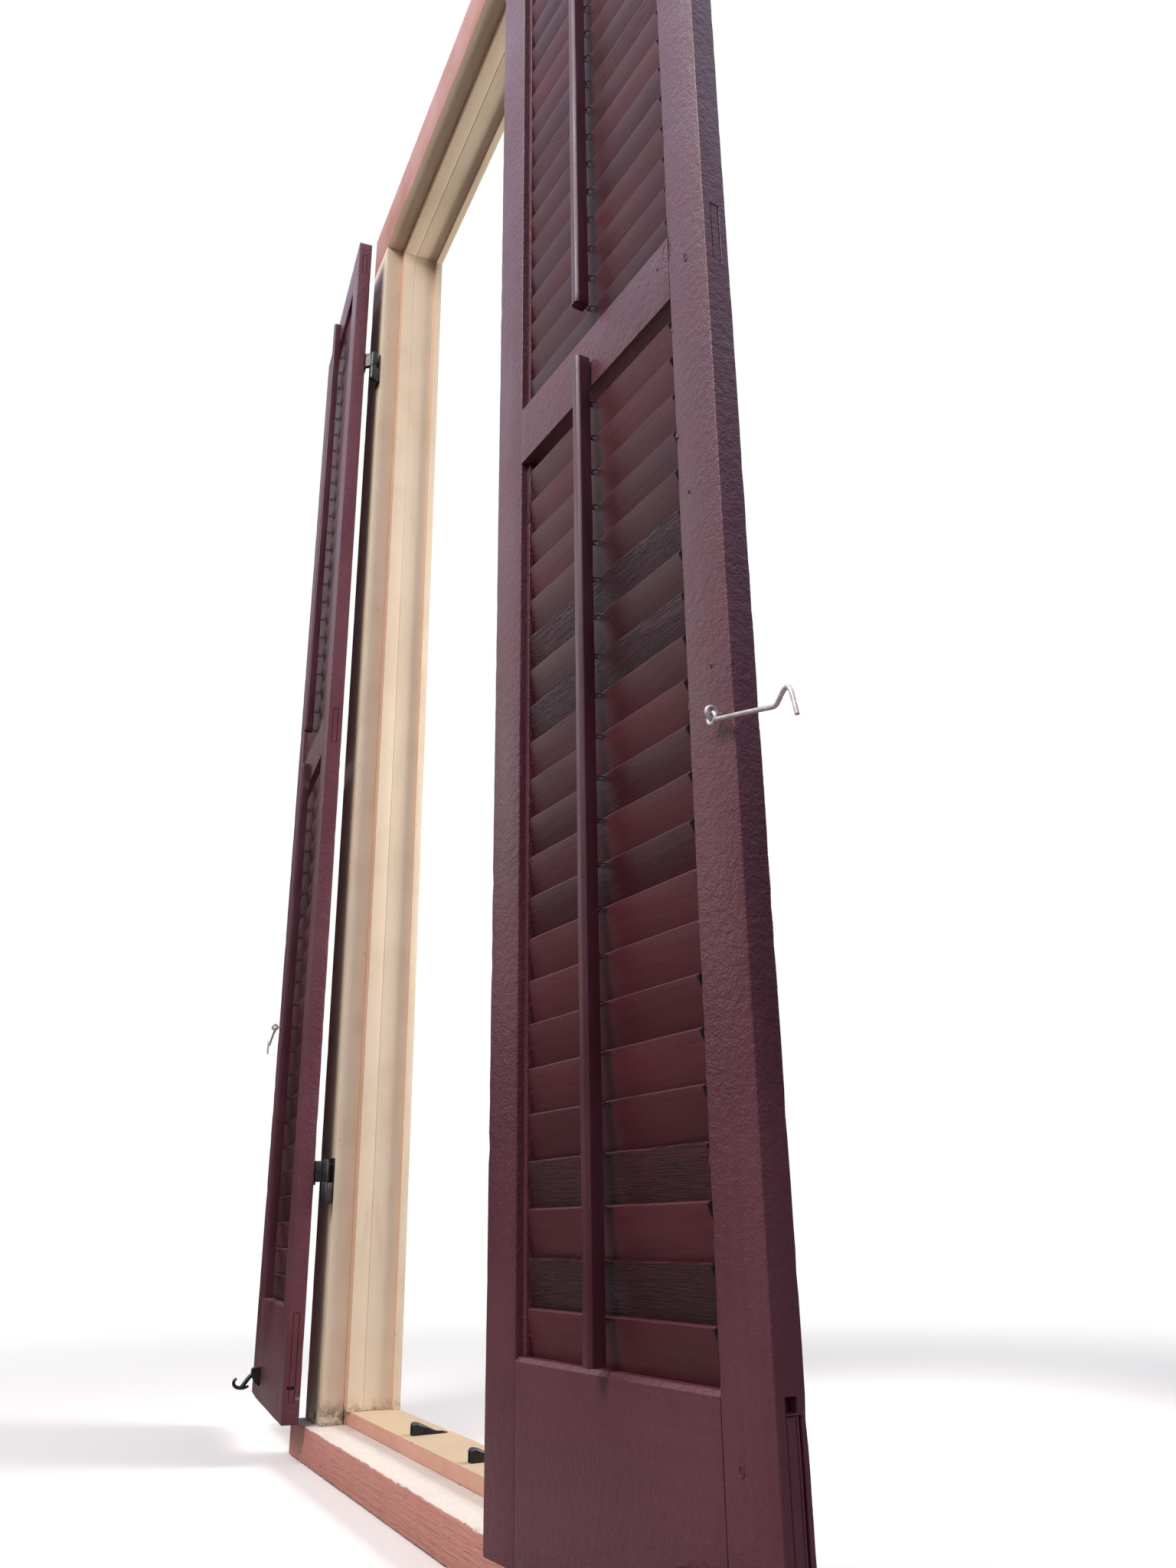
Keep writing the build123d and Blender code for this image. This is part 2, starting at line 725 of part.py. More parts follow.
def build_leaf(leaf, lower_moves):
    lower = (bottom_rail_width, mid_rail_foot)
    upper = (mid_rail_top, top_rail_foot)
    lower_rod_foot = bottom_rail_width + lower_rod_above_rail
    upper_rod_foot = mid_rail_top + upper_rod_above_rail
    leaf_frame(leaf)
    leaf_hinges(leaf)
    fixed_louvres(leaf, "upper_louvres", *upper, upper_pivots)
    tilt_rod(leaf, "upper_rod", upper_rod_foot, top_rail_foot + upper_rod_past_rail, upper_pivots, False)
    if lower_moves:
        pivot_strips(leaf, "pivot_strips", *lower, lower_pivots)
        for number, z in enumerate(lower_pivots, start=1):
            moving_louvre(leaf, f"louvre_{number:02d}", z)
    else:
        fixed_louvres(leaf, "lower_louvres", *lower, lower_pivots)
    tilt_rod(leaf, "lower_rod", lower_rod_foot, mid_rail_foot + rod_above_rail, lower_pivots, lower_moves)
    hook_eye(leaf)
    hold_open_hook(leaf)
    catch_bracket(leaf)
    closing_hook(leaf)


os.makedirs("parts", exist_ok=True)
build_frame()
build_leaf(right_leaf, lower_moves=True)
build_leaf(left_leaf, lower_moves=False)
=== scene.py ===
import math
from types import SimpleNamespace

import bmesh
import bpy
from mathutils import Matrix, Vector, noise


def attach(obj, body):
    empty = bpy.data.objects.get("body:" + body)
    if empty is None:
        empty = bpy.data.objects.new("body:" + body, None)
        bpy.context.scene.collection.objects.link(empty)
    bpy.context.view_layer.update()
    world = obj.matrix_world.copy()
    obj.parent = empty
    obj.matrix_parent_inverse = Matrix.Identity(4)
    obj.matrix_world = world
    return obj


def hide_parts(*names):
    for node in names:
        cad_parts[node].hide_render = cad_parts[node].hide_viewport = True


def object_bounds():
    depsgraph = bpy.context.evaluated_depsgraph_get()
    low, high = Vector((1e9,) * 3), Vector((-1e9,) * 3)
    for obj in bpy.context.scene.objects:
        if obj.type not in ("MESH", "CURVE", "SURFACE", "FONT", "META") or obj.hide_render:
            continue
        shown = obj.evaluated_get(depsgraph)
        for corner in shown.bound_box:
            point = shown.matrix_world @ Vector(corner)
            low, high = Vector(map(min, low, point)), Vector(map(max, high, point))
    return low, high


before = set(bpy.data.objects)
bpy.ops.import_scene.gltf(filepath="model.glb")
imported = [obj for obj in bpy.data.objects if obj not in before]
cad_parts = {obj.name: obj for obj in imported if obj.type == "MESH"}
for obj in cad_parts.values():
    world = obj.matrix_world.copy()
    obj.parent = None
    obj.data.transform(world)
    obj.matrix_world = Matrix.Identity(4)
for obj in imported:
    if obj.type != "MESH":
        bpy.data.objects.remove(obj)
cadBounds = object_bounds()
print("frame loaded")


# Lets a settings dictionary be read as s.width
def named(settings):
    return SimpleNamespace(**settings)


def link(item):
    bpy.context.scene.collection.objects.link(item)


# Camera, at the place and angle of the photograph
cameraSettings = {
    "place": (1.5292, -0.5025, -1.966),
    "yaw": -64.86,
    "pitch": 20.28,
    "roll": -0.796,
    "focalPixels": 1573.6,
    "imageHeight": 2048,
    "sensorHeight": 36,
    "clipStart": 0.02,
}


def makeCamera():
    s = named(cameraSettings)
    yaw, pitch, roll = (math.radians(angle) for angle in (s.yaw, s.pitch, s.roll))
    flat = math.cos(pitch)
    forward = Vector((math.sin(yaw) * flat, math.cos(yaw) * flat, math.sin(pitch)))
    level = Vector((math.cos(yaw), -math.sin(yaw), 0))
    upright = level.cross(forward)
    right = level * math.cos(roll) + upright * math.sin(roll)
    up = upright * math.cos(roll) - level * math.sin(roll)
    data = bpy.data.cameras.new("camera")
    data.sensor_fit = "VERTICAL"
    data.sensor_height = s.sensorHeight
    data.lens = s.focalPixels * s.sensorHeight / s.imageHeight
    data.clip_start = s.clipStart
    camera = bpy.data.objects.new("camera", data)
    turn = Matrix((right, up, -forward)).transposed().to_4x4()
    camera.matrix_world = Matrix.Translation(s.place) @ turn
    link(camera)
    bpy.context.scene.camera = camera


makeCamera()
print("camera set")


# Linear colour from the hex code of a paint
def colour(code):
    parts = [int(code[i:i + 2], 16) / 255 for i in (1, 3, 5)]
    return tuple(p / 12.92 if p <= 0.04045 else ((p + 0.055) / 1.055) ** 2.4 for p in parts) + (1,)


# Nodes that are added and joined in one step
class Nodes:
    def __init__(self, tree):
        self.tree = tree

    # A socket is joined, a hex code becomes a colour, and anything else is set as it is
    def feed(self, node, socket, value):
        if isinstance(value, bpy.types.NodeSocket):
            self.tree.links.new(value, node.inputs[socket])
        else:
            node.inputs[socket].default_value = colour(value) if isinstance(value, str) else value

    def add(self, kind, inputs={}, **settings):
        node = self.tree.nodes.new("ShaderNode" + kind)
        for key, value in settings.items():
            setattr(node, key, value)
        for socket, value in inputs.items():
            self.feed(node, socket, value)
        return node

    def math(self, operation, first, second):
        return self.add("Math", {0: first, 1: second}, operation=operation).outputs[0]

    # Adds each layer to the first value, with its own weight
    def pile(self, height, *layers):
        for layer, weight in layers:
            height = self.math("ADD", height, self.math("MULTIPLY", layer, weight))
        return height

    # Draws a pattern out along the grain
    def drawn(self, source, along, across):
        inputs = {"Vector": source, "Scale": (along, across, across)}
        return self.add("Mapping", inputs).outputs[0]

    def noise(self, source, scale, detail, roughness, distortion=0.0):
        inputs = {"Vector": source, "Scale": scale, "Detail": detail, "Roughness": roughness,
                  "Distortion": distortion}
        return self.add("TexNoise", inputs).outputs["Fac"]

    def band(self, source, low, high, first=0.0, last=1.0):
        inputs = {"Value": source, "From Min": low, "From Max": high, "To Min": first,
                  "To Max": last}
        return self.add("MapRange", inputs, interpolation_type="SMOOTHSTEP").outputs[0]

    def blend(self, factor, first, second):
        inputs = {"Factor": factor, 6: first, 7: second}
        return self.add("Mix", inputs, data_type="RGBA").outputs[2]

    def mixShader(self, factor, first, second):
        inputs = {"Fac": factor, 1: first.outputs[0], 2: second.outputs[0]}
        return self.add("MixShader", inputs)


# A material with the places that its patterns are read from
class Finish(Nodes):
    def __init__(self, name):
        self.material = bpy.data.materials.new(name)
        self.material.use_nodes = True
        super().__init__(self.material.node_tree)
        self.shader = self.tree.nodes["Principled BSDF"]

    # Where a wooden piece was before it was put in position: x runs with the grain
    def grain(self):
        return self.add("Attribute", attribute_name="grainPlace").outputs["Vector"]

    # How weathered the piece is; below zero it marks painted shade, not weathering
    def wear(self):
        return self.add("Attribute", attribute_name="wear").outputs["Fac"]

    def seat(self):
        return self.add("TexCoord").outputs["Object"]

    def coat(self, tone, rough, height, distance, sheen):
        bump = self.add("Bump", {"Strength": 1.0, "Distance": distance, "Height": height})
        self.feed(self.shader, "Base Color", tone)
        self.feed(self.shader, "Roughness", rough)
        self.feed(self.shader, "Normal", bump.outputs[0])
        self.feed(self.shader, "Specular IOR Level", sheen)
        return self.material


# Floor, lamps and world; each lamp has a name, place, aim, width, power and tint
studioSettings = {
    "floorSize": 30.0,
    "floorGap": 0.0006,
    "floorColour": (0.93, 0.93, 0.92, 1),
    "floorBounce": (0.30, 0.29, 0.28, 1),
    "floorRoughness": 0.9,
    "floorFade": (0.9, 3.4),
    "worldColour": (0.86, 0.84, 0.94, 1),
    "worldStrength": 0.42,
    "glossColour": (0.80, 0.78, 1.0, 1),
    "glossLow": 0.10,
    "glossHigh": 2.1,
    "glossRise": (0.30, 0.95),
    "white": (1, 1, 1, 1),
    "lamps": [
        ("keyLamp", (1.4, -3.4, 2.3), (0.0, 0.0, -0.6), 2.6, 225, (1.0, 0.95, 0.89)),
        ("openingLamp", (0.25, 1.3, -1.05), (-0.4, 0.0, -1.35), 0.9, 32, (1.0, 0.95, 0.88)),
        ("sideLamp", (3.2, -0.6, -0.6), (0.3, 0.0, -1.1), 1.6, 9, (0.50, 0.52, 1.0)),
        ("fillLamp", (-3.0, -2.6, 0.4), (0.0, 0.0, -1.2), 3.0, 30, (1.0, 0.97, 0.96)),
    ],
}


# Pale floor that keeps the shadow near the object and turns white far away
def floorFinish():
    s = named(studioSettings)
    finish = Finish("floorFinish")
    seen = finish.add("LightPath").outputs["Is Camera Ray"]
    finish.feed(finish.shader, "Roughness", s.floorRoughness)
    finish.feed(finish.shader, "Base Color", finish.blend(seen, s.floorBounce, s.floorColour))
    flat = finish.add("Mapping", {"Vector": finish.seat(), "Scale": (1, 1, 0)})
    reach = finish.add("VectorMath", {0: flat.outputs[0]}, operation="LENGTH").outputs["Value"]
    bright = finish.add("Emission", {"Color": s.white, "Strength": seen})
    mix = finish.mixShader(finish.band(reach, *s.floorFade), finish.shader, bright)
    finish.feed(finish.tree.nodes["Material Output"], "Surface", mix.outputs[0])
    return finish.material


def makeFloor():
    s = named(studioSettings)
    bm = bmesh.new()
    bmesh.ops.create_grid(bm, x_segments=2, y_segments=2, size=s.floorSize)
    bmesh.ops.translate(bm, verts=bm.verts, vec=(0, 0, cadBounds[0][2] - s.floorGap))
    mesh = bpy.data.meshes.new("floor")
    bm.to_mesh(mesh)
    bm.free()
    mesh.materials.append(floorFinish())
    floor = bpy.data.objects.new("floor", mesh)
    link(floor)


def makeLamps():
    for name, place, aim, width, power, tint in studioSettings["lamps"]:
        data = bpy.data.lights.new(name, "AREA")
        data.shape = "DISK"
        data.size = width
        data.energy = power
        data.color = tint
        lamp = bpy.data.objects.new(name, data)
        lamp.visible_camera = False
        turn = (Vector(place) - Vector(aim)).to_track_quat("Z", "Y").to_matrix().to_4x4()
        lamp.matrix_world = Matrix.Translation(place) @ turn
        link(lamp)


# The camera sees white, soft light has one colour, and gloss brightens with height
def makeWorld():
    s = named(studioSettings)
    world = bpy.data.worlds.new("studio")
    bpy.context.scene.world = world
    world.use_nodes = True
    world.node_tree.nodes.clear()
    nodes = Nodes(world.node_tree)
    ray = nodes.add("LightPath").outputs
    soft = nodes.add("Background", {"Color": s.worldColour, "Strength": s.worldStrength})
    way = nodes.add("SeparateXYZ", {0: nodes.add("TexCoord").outputs["Generated"]})
    rise = nodes.band(way.outputs["Z"], *s.glossRise, s.glossLow, s.glossHigh)
    gloss = nodes.add("Background", {"Color": s.glossColour, "Strength": rise})
    white = nodes.add("Background", {"Color": s.white})
    seen = nodes.math("MAXIMUM", ray["Is Camera Ray"], ray["Is Transmission Ray"])
    mix = nodes.mixShader(seen, nodes.mixShader(ray["Is Glossy Ray"], soft, gloss), white)
    nodes.add("OutputWorld", {"Surface": mix.outputs[0]})


makeFloor()
makeLamps()
makeWorld()
bpy.context.scene.view_settings.view_transform = "Standard"
print("studio lit")


# Shared by the painted woods. A noise has its detail, roughness and distortion, a band its limits
woodSettings = {
    "strokeNoise": (5, 0.6, 0.2), "fineNoise": (4, 0.65, 0.15), "figureNoise": (2, 0.4, 1.6),
    "blotchNoise": (3, 0.5), "peelNoise": (2, 0.45), "lumpNoise": (2, 0.5), "chipNoise": (5, 0.7),
    "tornNoise": (3, 0.6), "tornScale": 330, "tornBand": (0.3, 0.7, -0.35, 0.35),
    "poreBand": (0.38, 0.52, 1.0, 0.0), "wearBand": (0.35, 0.85), "poreTone": 0.5,
    "blotchBand": (0.35, 0.65), "figureBand": (0.44, 0.60), "chipEdge": 0.015,
    # Wear below zero gets a near-black tone: painted shade at the louvre end notches
    "scratchBand": (1.4, 1.7), "gapBand": (-0.75, -0.55, 1.0, 0.0), "gapTone": "#0a0406",
    "roughBand": (0.3, 0.7), "smoother": 0.05, "rougher": 0.06, "poreRough": 0.06,
    "chipRough": 0.25, "gapRough": 0.5, "lumpScale": 0.3, "lumpDepth": 1.6, "chipDepth": 0.30,
    "bump": 0.001,
}


# Satin paint over wood: fine peel and brush strokes, deep grooves where the piece is weathered, and
# near-black painted shade where the wear attribute is below zero
def paintedWood(name, own):
    s = named({**woodSettings, **own})
    finish = Finish(name)
    noise, band, blend = finish.noise, finish.band, finish.blend
    place, wear = finish.grain(), finish.wear()
    strokes = noise(finish.drawn(place, *s.stroke), 1.0, *s.strokeNoise)
    fine = noise(finish.drawn(place, *s.fine), 1.0, *s.fineNoise)
    figure = noise(finish.drawn(place, *s.figure), 1.0, *s.figureNoise)
    blotch = noise(place, s.blotch, *s.blotchNoise)
    peel = noise(place, s.peel, *s.peelNoise)
    lumps = noise(place, s.peel * s.lumpScale, *s.lumpNoise)
    sunk = finish.math("MULTIPLY", band(fine, *s.poreBand), band(wear, *s.wearBand))
    chips = band(noise(place, s.chipScale, *s.chipNoise), s.chipLevel, s.chipLevel + s.chipEdge)
    chips = finish.math("MAXIMUM", chips, band(wear, *s.scratchBand))
    torn = band(noise(place, s.tornScale, *s.tornNoise), *s.tornBand)
    # Near-black painted shade where wear is below zero, standing in for the shadow in each louvre's
    # end notch
    gap = band(finish.math("ADD", wear, torn), *s.gapBand)
    tone = blend(band(blotch, *s.blotchBand), s.base, s.light)
    tone = blend(band(figure, *s.figureBand, 0.0, s.figureTone), tone, s.dark)
    tone = blend(finish.math("MULTIPLY", sunk, s.poreTone), tone, s.dark)
    tone = blend(chips, tone, s.chip)
    tone = blend(gap, tone, s.gapTone)
    rough = band(blotch, *s.roughBand, s.roughness - s.smoother, s.roughness + s.rougher)
    rough = finish.pile(rough, (sunk, s.poreRough), (chips, s.chipRough), (gap, s.gapRough))
    height = finish.pile(finish.math("MULTIPLY", strokes, s.strokeDepth), (peel, s.peelDepth),
                         (lumps, s.peelDepth * s.lumpDepth), (figure, s.figureDepth),
                         (sunk, -s.grooveDepth), (chips, -s.chipDepth))
    return finish.coat(tone, rough, height, s.bump, s.sheen)


# Strokes, fine grain and figure are given along and across the grain
leafPaint = paintedWood("leafPaint", {
    "base": "#5b2d37", "light": "#63343e", "dark": "#3f1c26", "chip": "#8d7166",
    "stroke": (9, 170), "fine": (22, 900), "figure": (3, 40), "figureTone": 0.10,
    "figureDepth": 0.12, "blotch": 7, "peel": 470, "chipScale": 48, "chipLevel": 0.76,
    "roughness": 0.42, "strokeDepth": 0.18, "peelDepth": 0.55, "grooveDepth": 0.8, "sheen": 0.45,
})
# At this large blotch scale each louvre gets its own lighter or darker tone: painted shading in
# place of the louvres' differing tilts
louvrePaint = paintedWood("louvrePaint", {
    "base": "#3e141b", "light": "#56232b", "dark": "#2a0e13", "chip": "#7d5a52",
    "stroke": (10, 240), "fine": (26, 1000), "figure": (5, 60), "figureTone": 0.18,
    "figureDepth": 0.16, "blotch": 1.6, "peel": 700, "chipScale": 60, "chipLevel": 0.77,
    "roughness": 0.50, "strokeDepth": 0.22, "peelDepth": 0.07, "grooveDepth": 1.9, "sheen": 0.34,
})
rodPaint = paintedWood("rodPaint", {
    "base": "#4c222a", "light": "#562a34", "dark": "#2c1118", "chip": "#8a6a60",
    "stroke": (8, 200), "fine": (22, 900), "figure": (4, 60), "figureTone": 0.18,
    "figureDepth": 0.18, "blotch": 9, "peel": 560, "chipScale": 50, "chipLevel": 0.75,
    "roughness": 0.40, "strokeDepth": 0.20, "peelDepth": 0.10, "grooveDepth": 0.8, "sheen": 0.45,
})

# Shared by the boards of the window frame; the front colour is on what faces along axis and sign
trimSettings = {
    "side": "#dfcdb6", "sideDark": "#cdb69c", "dirt": "#5b4636", "mildew": "#5a5238",
    "axis": 1, "sign": -1.0, "stroke": (7, 190), "strokeNoise": (6, 0.62, 0.3),
    "wrinkle": (16.8, 171.0), "wrinkleNoise": (3, 0.5, 2.2), "edge": (60, 240),
    "edgeNoise": (4, 0.7), "edgeBand": (0.3, 0.7), "frontBand": (0.66, 0.70), "stain": (3.0, 30.0),
    "stainNoise": (4, 0.6, 0.6), "stainBand": (0.58, 0.76), "stainTone": 0.12, "blotch": 9,
    "blotchNoise": (4, 0.55), "blotchBand": (0.42, 0.70), "blotchTone": 0.45,
    "speckNoise": (2, 0.5), "speckEdge": 0.02, "speckScale": 210, "speckLevel": 0.76,
    "ragged": 0.05, "mildewTop": -2.188, "mildewRise": 0.035, "mouldScale": 70,
    "mouldNoise": (6, 0.75), "mouldBand": (0.44, 0.60),
    "mouldTone": 0.85, "roughBand": (0.3, 0.7), "roughness": 0.46, "smoother": 0.05, "rougher": 0.1,
    "mouldRough": 0.3, "strokeDepth": 0.26, "wrinkleDepth": 0.05, "frontDepth": 0.25,
    "mouldDepth": 0.8, "bump": 0.001, "sheen": 0.4,
}


# Two paints on one board: one on what faces the chosen way, one on the other faces
def trimPaint(name, own):
    s = named({**trimSettings, **own})
    finish = Finish(name)
    noise, band, blend = finish.noise, finish.band, finish.blend
    place, seat = finish.grain(), finish.seat()
    normal = finish.add("SeparateXYZ", {0: finish.add("NewGeometry").outputs["Normal"]})
    height = finish.add("SeparateXYZ", {0: seat}).outputs[2]
    strokes = noise(finish.drawn(place, *s.stroke), 1.0, *s.strokeNoise)
    wrinkles = noise(finish.drawn(place, *s.wrinkle), 1.0, *s.wrinkleNoise)
    ragged = noise(finish.drawn(place, *s.edge), 1.0, *s.edgeNoise)
    stain = noise(finish.drawn(place, *s.stain), 1.0, *s.stainNoise)
    blotch = noise(place, s.blotch, *s.blotchNoise)
    facing = finish.math("MULTIPLY", normal.outputs[s.axis], s.sign)
    facing = finish.math("ADD", facing, band(ragged, *s.edgeBand, -s.ragged, s.ragged))
    isFront = band(facing, *s.frontBand)
    specks = noise(place, s.speckScale, *s.speckNoise)
    specks = band(specks, s.speckLevel, s.speckLevel + s.speckEdge)
    low = band(height, s.mildewTop - s.mildewRise, s.mildewTop, 1.0, 0.0)
    mould = band(noise(seat, s.mouldScale, *s.mouldNoise), *s.mouldBand, 0.0, s.mouldTone)
    mould = finish.math("MULTIPLY", low, mould)
    shade = blend(isFront, s.sideDark, s.frontDark)
    tone = blend(isFront, s.side, s.front)
    tone = blend(band(blotch, *s.blotchBand, 0.0, s.blotchTone), tone, shade)
    tone = blend(band(stain, *s.stainBand, 0.0, s.stainTone), tone, s.dirt)
    tone = blend(specks, tone, s.dirt)
    tone = blend(mould, tone, s.mildew)
    rough = band(blotch, *s.roughBand, s.roughness - s.smoother, s.roughness + s.rougher)
    rough = finish.pile(rough, (mould, s.mouldRough))
    relief = finish.pile(finish.math("MULTIPLY", strokes, s.strokeDepth),
                         (wrinkles, s.wrinkleDepth), (isFront, s.frontDepth), (mould, s.mouldDepth))
    return finish.coat(tone, rough, relief, s.bump, s.sheen)


casingPaint = trimPaint("casingPaint", {"front": "#ebdac0", "frontDark": "#d9c2a1"})
headPaint = trimPaint("headPaint", {"front": "#b07964", "frontDark": "#9e6754"})
jambPaint = trimPaint("jambPaint", {"front": "#d9b196", "frontDark": "#c99c80"})
sillPaint = trimPaint("sillPaint", {
    "side": "#d08e80", "sideDark": "#bd7a6f", "front": "#e4ddd5", "frontDark": "#d2c6bc",
    "dirt": "#4b3c33", "axis": 2, "sign": 1.0, "ragged": 0.28, "speckScale": 150,
    "speckLevel": 0.722, "strokeDepth": 1.5, "wrinkleDepth": 1.3, "mildewTop": -2.5,
})
subSillPaint = trimPaint("subSillPaint", {
    "side": "#d19c88", "sideDark": "#c08874", "front": "#c8b297", "frontDark": "#c8b07c",
    "dirt": "#4a3b31", "axis": 2, "sign": 1.0, "ragged": 0.12, "speckScale": 150,
    "speckLevel": 0.75, "strokeDepth": 0.35, "wrinkleDepth": 0.12, "mildewTop": -2.5,
})

metalSettings = {
    "iron": {"tone": "#101012", "worn": "#27242a", "rust": "#4a2a1d", "blotch": (60, 4, 0.6),
             "wornBand": (0.45, 0.75), "rustNoise": (140, 5, 0.7),
             "rustBand": (0.66, 0.72, 0.0, 1.0), "roughBand": (0.3, 0.7, 0.26, 0.44),
             "relief": (520, 4, 0.6), "bump": 0.0005, "sheen": 0.6, "metal": 0.0},
    "wire": {"tone": "#dcd3cf", "worn": "#b3a9a5", "rust": "#6e4a38", "blotch": (160, 5, 0.65),
             "wornBand": (0.35, 0.7), "rustNoise": (90, 5, 0.7), "rustBand": (0.66, 0.74, 0.0, 0.7),
             "roughBand": (0.3, 0.7, 0.32, 0.55), "relief": (160, 5, 0.65), "bump": 0.0003,
             "sheen": 0.5, "metal": 0.45},
}


# Blotched metal with a little rust
def metalFinish(name, kind):
    s = named(metalSettings[kind])
    finish = Finish(name)
    place = finish.seat()
    blotch = finish.noise(place, *s.blotch)
    tone = finish.blend(finish.band(blotch, *s.wornBand), s.tone, s.worn)
    rust = finish.band(finish.noise(place, *s.rustNoise), *s.rustBand)
    tone = finish.blend(rust, tone, s.rust)
    finish.feed(finish.shader, "Metallic", s.metal)
    rough = finish.band(blotch, *s.roughBand)
    return finish.coat(tone, rough, finish.noise(place, *s.relief), s.bump, s.sheen)


# What covers a piece: the name of its slot in the record, which finishPiece does not use, and its
# finish
leafCoat = ("leaf_paint", leafPaint)
louvreCoat = ("louvre_paint", louvrePaint)
rodCoat = ("rod_paint", rodPaint)
casingCoat = ("casing_paint", casingPaint)
jambCoat = ("casing_paint", jambPaint)
headCoat = ("head_paint", headPaint)
sillCoat = ("sill_paint", sillPaint)
subSillCoat = ("sub_sill_paint", subSillPaint)
ironCoat = ("black_iron", metalFinish("blackIron", "iron"))
wireCoat = ("galvanised_wire", metalFinish("dullWire", "wire"))
print("finishes made")


# Shared making steps
makingSettings = {
    "merge": 0.000001, "wireMerge": 0.00001, "sharpAngle": 38, "flatEdge": 1e-6, "easeSegments": 3,
    "wireSegments": 14, "ringSteps": 40, "wireCurve": 6, "pinSegments": 28, "screwSegments": 20,
    "screwCrown": 0.72, "slotHalf": 0.14, "slotInside": 0.1, "slotEase": 0.02, "slotSink": 0.5,
    "driftWave": 14, "lossWave": 95, "lossFloor": 0.18, "fineWave": 40, "fineShare": 0.25,
    "roughSteps": (3.1, 1.7, 0.9), "grainSteps": (0.731, 0.373, 0.217),
}
make = named(makingSettings)


# One value of a smooth wandering field
def wander(a, b, c):
    return noise.noise(Vector((a, b, c)))


def span(edge, axis):
    return abs(edge.verts[0].co[axis] - edge.verts[1].co[axis])


def moved(bm, matrix):
    bmesh.ops.transform(bm, matrix=matrix, verts=bm.verts)
    return bm


def easeEdges(bm, edges, offset, segments=make.easeSegments, clamp=False):
    bmesh.ops.bevel(bm, geom=edges, offset=offset, segments=segments, profile=0.5,
                    affect="EDGES", material=-1, clamp_overlap=clamp)


# Cuts square to one axis, right through or only through the faces that are given
def cutAcross(bm, axis, at, faces=None):
    unit = Matrix.Identity(3)[axis]
    geom = bm.verts[:] + bm.edges[:] + bm.faces[:]
    if faces is not None:
        geom = dict.fromkeys(part for face in faces for part in (*face.verts, *face.edges, face))
    bmesh.ops.bisect_plane(bm, geom=list(geom), plane_co=unit * at, plane_no=unit)


def rectangle(a0, a1, b0, b1):
    return [(a0, b0), (a1, b0), (a1, b1), (a0, b1)]


# A board from its section: the outline lies across the grain axis and is pulled along it
def profileBoard(outline, low, high, axis, ease, cuts):
    bm = bmesh.new()
    others = [k for k in range(3) if k != axis]
    verts = []
    for first, second in outline:
        co = [0.0, 0.0, 0.0]
        co[axis], co[others[0]], co[others[1]] = low, first, second
        verts.append(bm.verts.new(co))
    grown = bmesh.ops.extrude_face_region(bm, geom=[bm.faces.new(verts)])["geom"]
    move = Matrix.Identity(3)[axis] * (high - low)
    ends = [part for part in grown if isinstance(part, bmesh.types.BMVert)]
    bmesh.ops.translate(bm, verts=ends, vec=move)
    bmesh.ops.recalc_face_normals(bm, faces=bm.faces)
    if ease:
        easeEdges(bm, bm.edges[:], ease, clamp=True)
    if cuts:
        spans = [e for e in bm.edges if span(e, axis) > 0.5 * (high - low)]
        bmesh.ops.subdivide_edges(bm, edges=spans, cuts=cuts, use_grid_fill=True)
    return bm


# Gentle unevenness all over, small losses near an arris, and nothing outside the first box
def roughen(bm, seed, axis, drift, chip, near):
    others = [k for k in range(3) if k != axis]
    lows = [min(v.co[k] for v in bm.verts) for k in range(3)]
    highs = [max(v.co[k] for v in bm.verts) for k in range(3)]
    middle = Vector([(lows[k] + highs[k]) / 2 for k in range(3)])
    shift = Vector([seed * step for step in make.roughSteps])
    for vert in bm.verts:
        gaps = [min(vert.co[k] - lows[k], highs[k] - vert.co[k]) for k in others]
        wave = noise.noise_vector(vert.co * make.driftWave + shift) * drift
        wave[axis] = 0
        loss = max(0.0, noise.noise(vert.co * make.lossWave + shift) - make.lossFloor)
        loss += make.fineShare * abs(noise.noise(vert.co * make.fineWave + shift))
        inward = middle - vert.co
        inward[axis] = 0
        if max(gaps) < near and inward.length > 0:
            for k in others:
                wave[k] += math.copysign(loss * chip, inward[k])
        vert.co += wave
        for k in others:
            vert.co[k] = min(max(vert.co[k], lows[k]), highs[k])
    return bm


# Keeps each vertex's place along and across the grain, and how weathered the piece is
def markGrain(bm, axis, seed, wear):
    place = bm.verts.layers.float_vector.new("grainPlace")
    worn = bm.verts.layers.float.new("wear")
    order = [axis] + [k for k in range(3) if k != axis]
    for vert in bm.verts:
        vert[place] = [vert.co[k] + seed * step for k, step in zip(order, make.grainSteps)]
        vert[worn] = wear
    return bm


# Joins finished parts into one bmesh
def gather(parts):
    whole = bmesh.new()
    for part in parts:
        mesh = bpy.data.meshes.new("part")
        part.to_mesh(mesh)
        part.free()
        whole.from_mesh(mesh)
        bpy.data.meshes.remove(mesh)
    return whole


def finishPiece(name, parts, body, coat, nodes, place=Matrix.Identity(4)):
    slot, material = coat
    bm = moved(gather(parts), place)
    bmesh.ops.remove_doubles(bm, verts=bm.verts, dist=make.merge)
    bmesh.ops.recalc_face_normals(bm, faces=bm.faces)
    mesh = bpy.data.meshes.new(name)
    bm.to_mesh(mesh)
    bm.free()
    for polygon in mesh.polygons:
        polygon.use_smooth = True
    mesh.set_sharp_from_angle(angle=math.radians(make.sharpAngle))
    mesh.materials.append(material)
    piece = bpy.data.objects.new(name, mesh)
    link(piece)
    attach(piece, body)
    if nodes:
        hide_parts(*nodes)


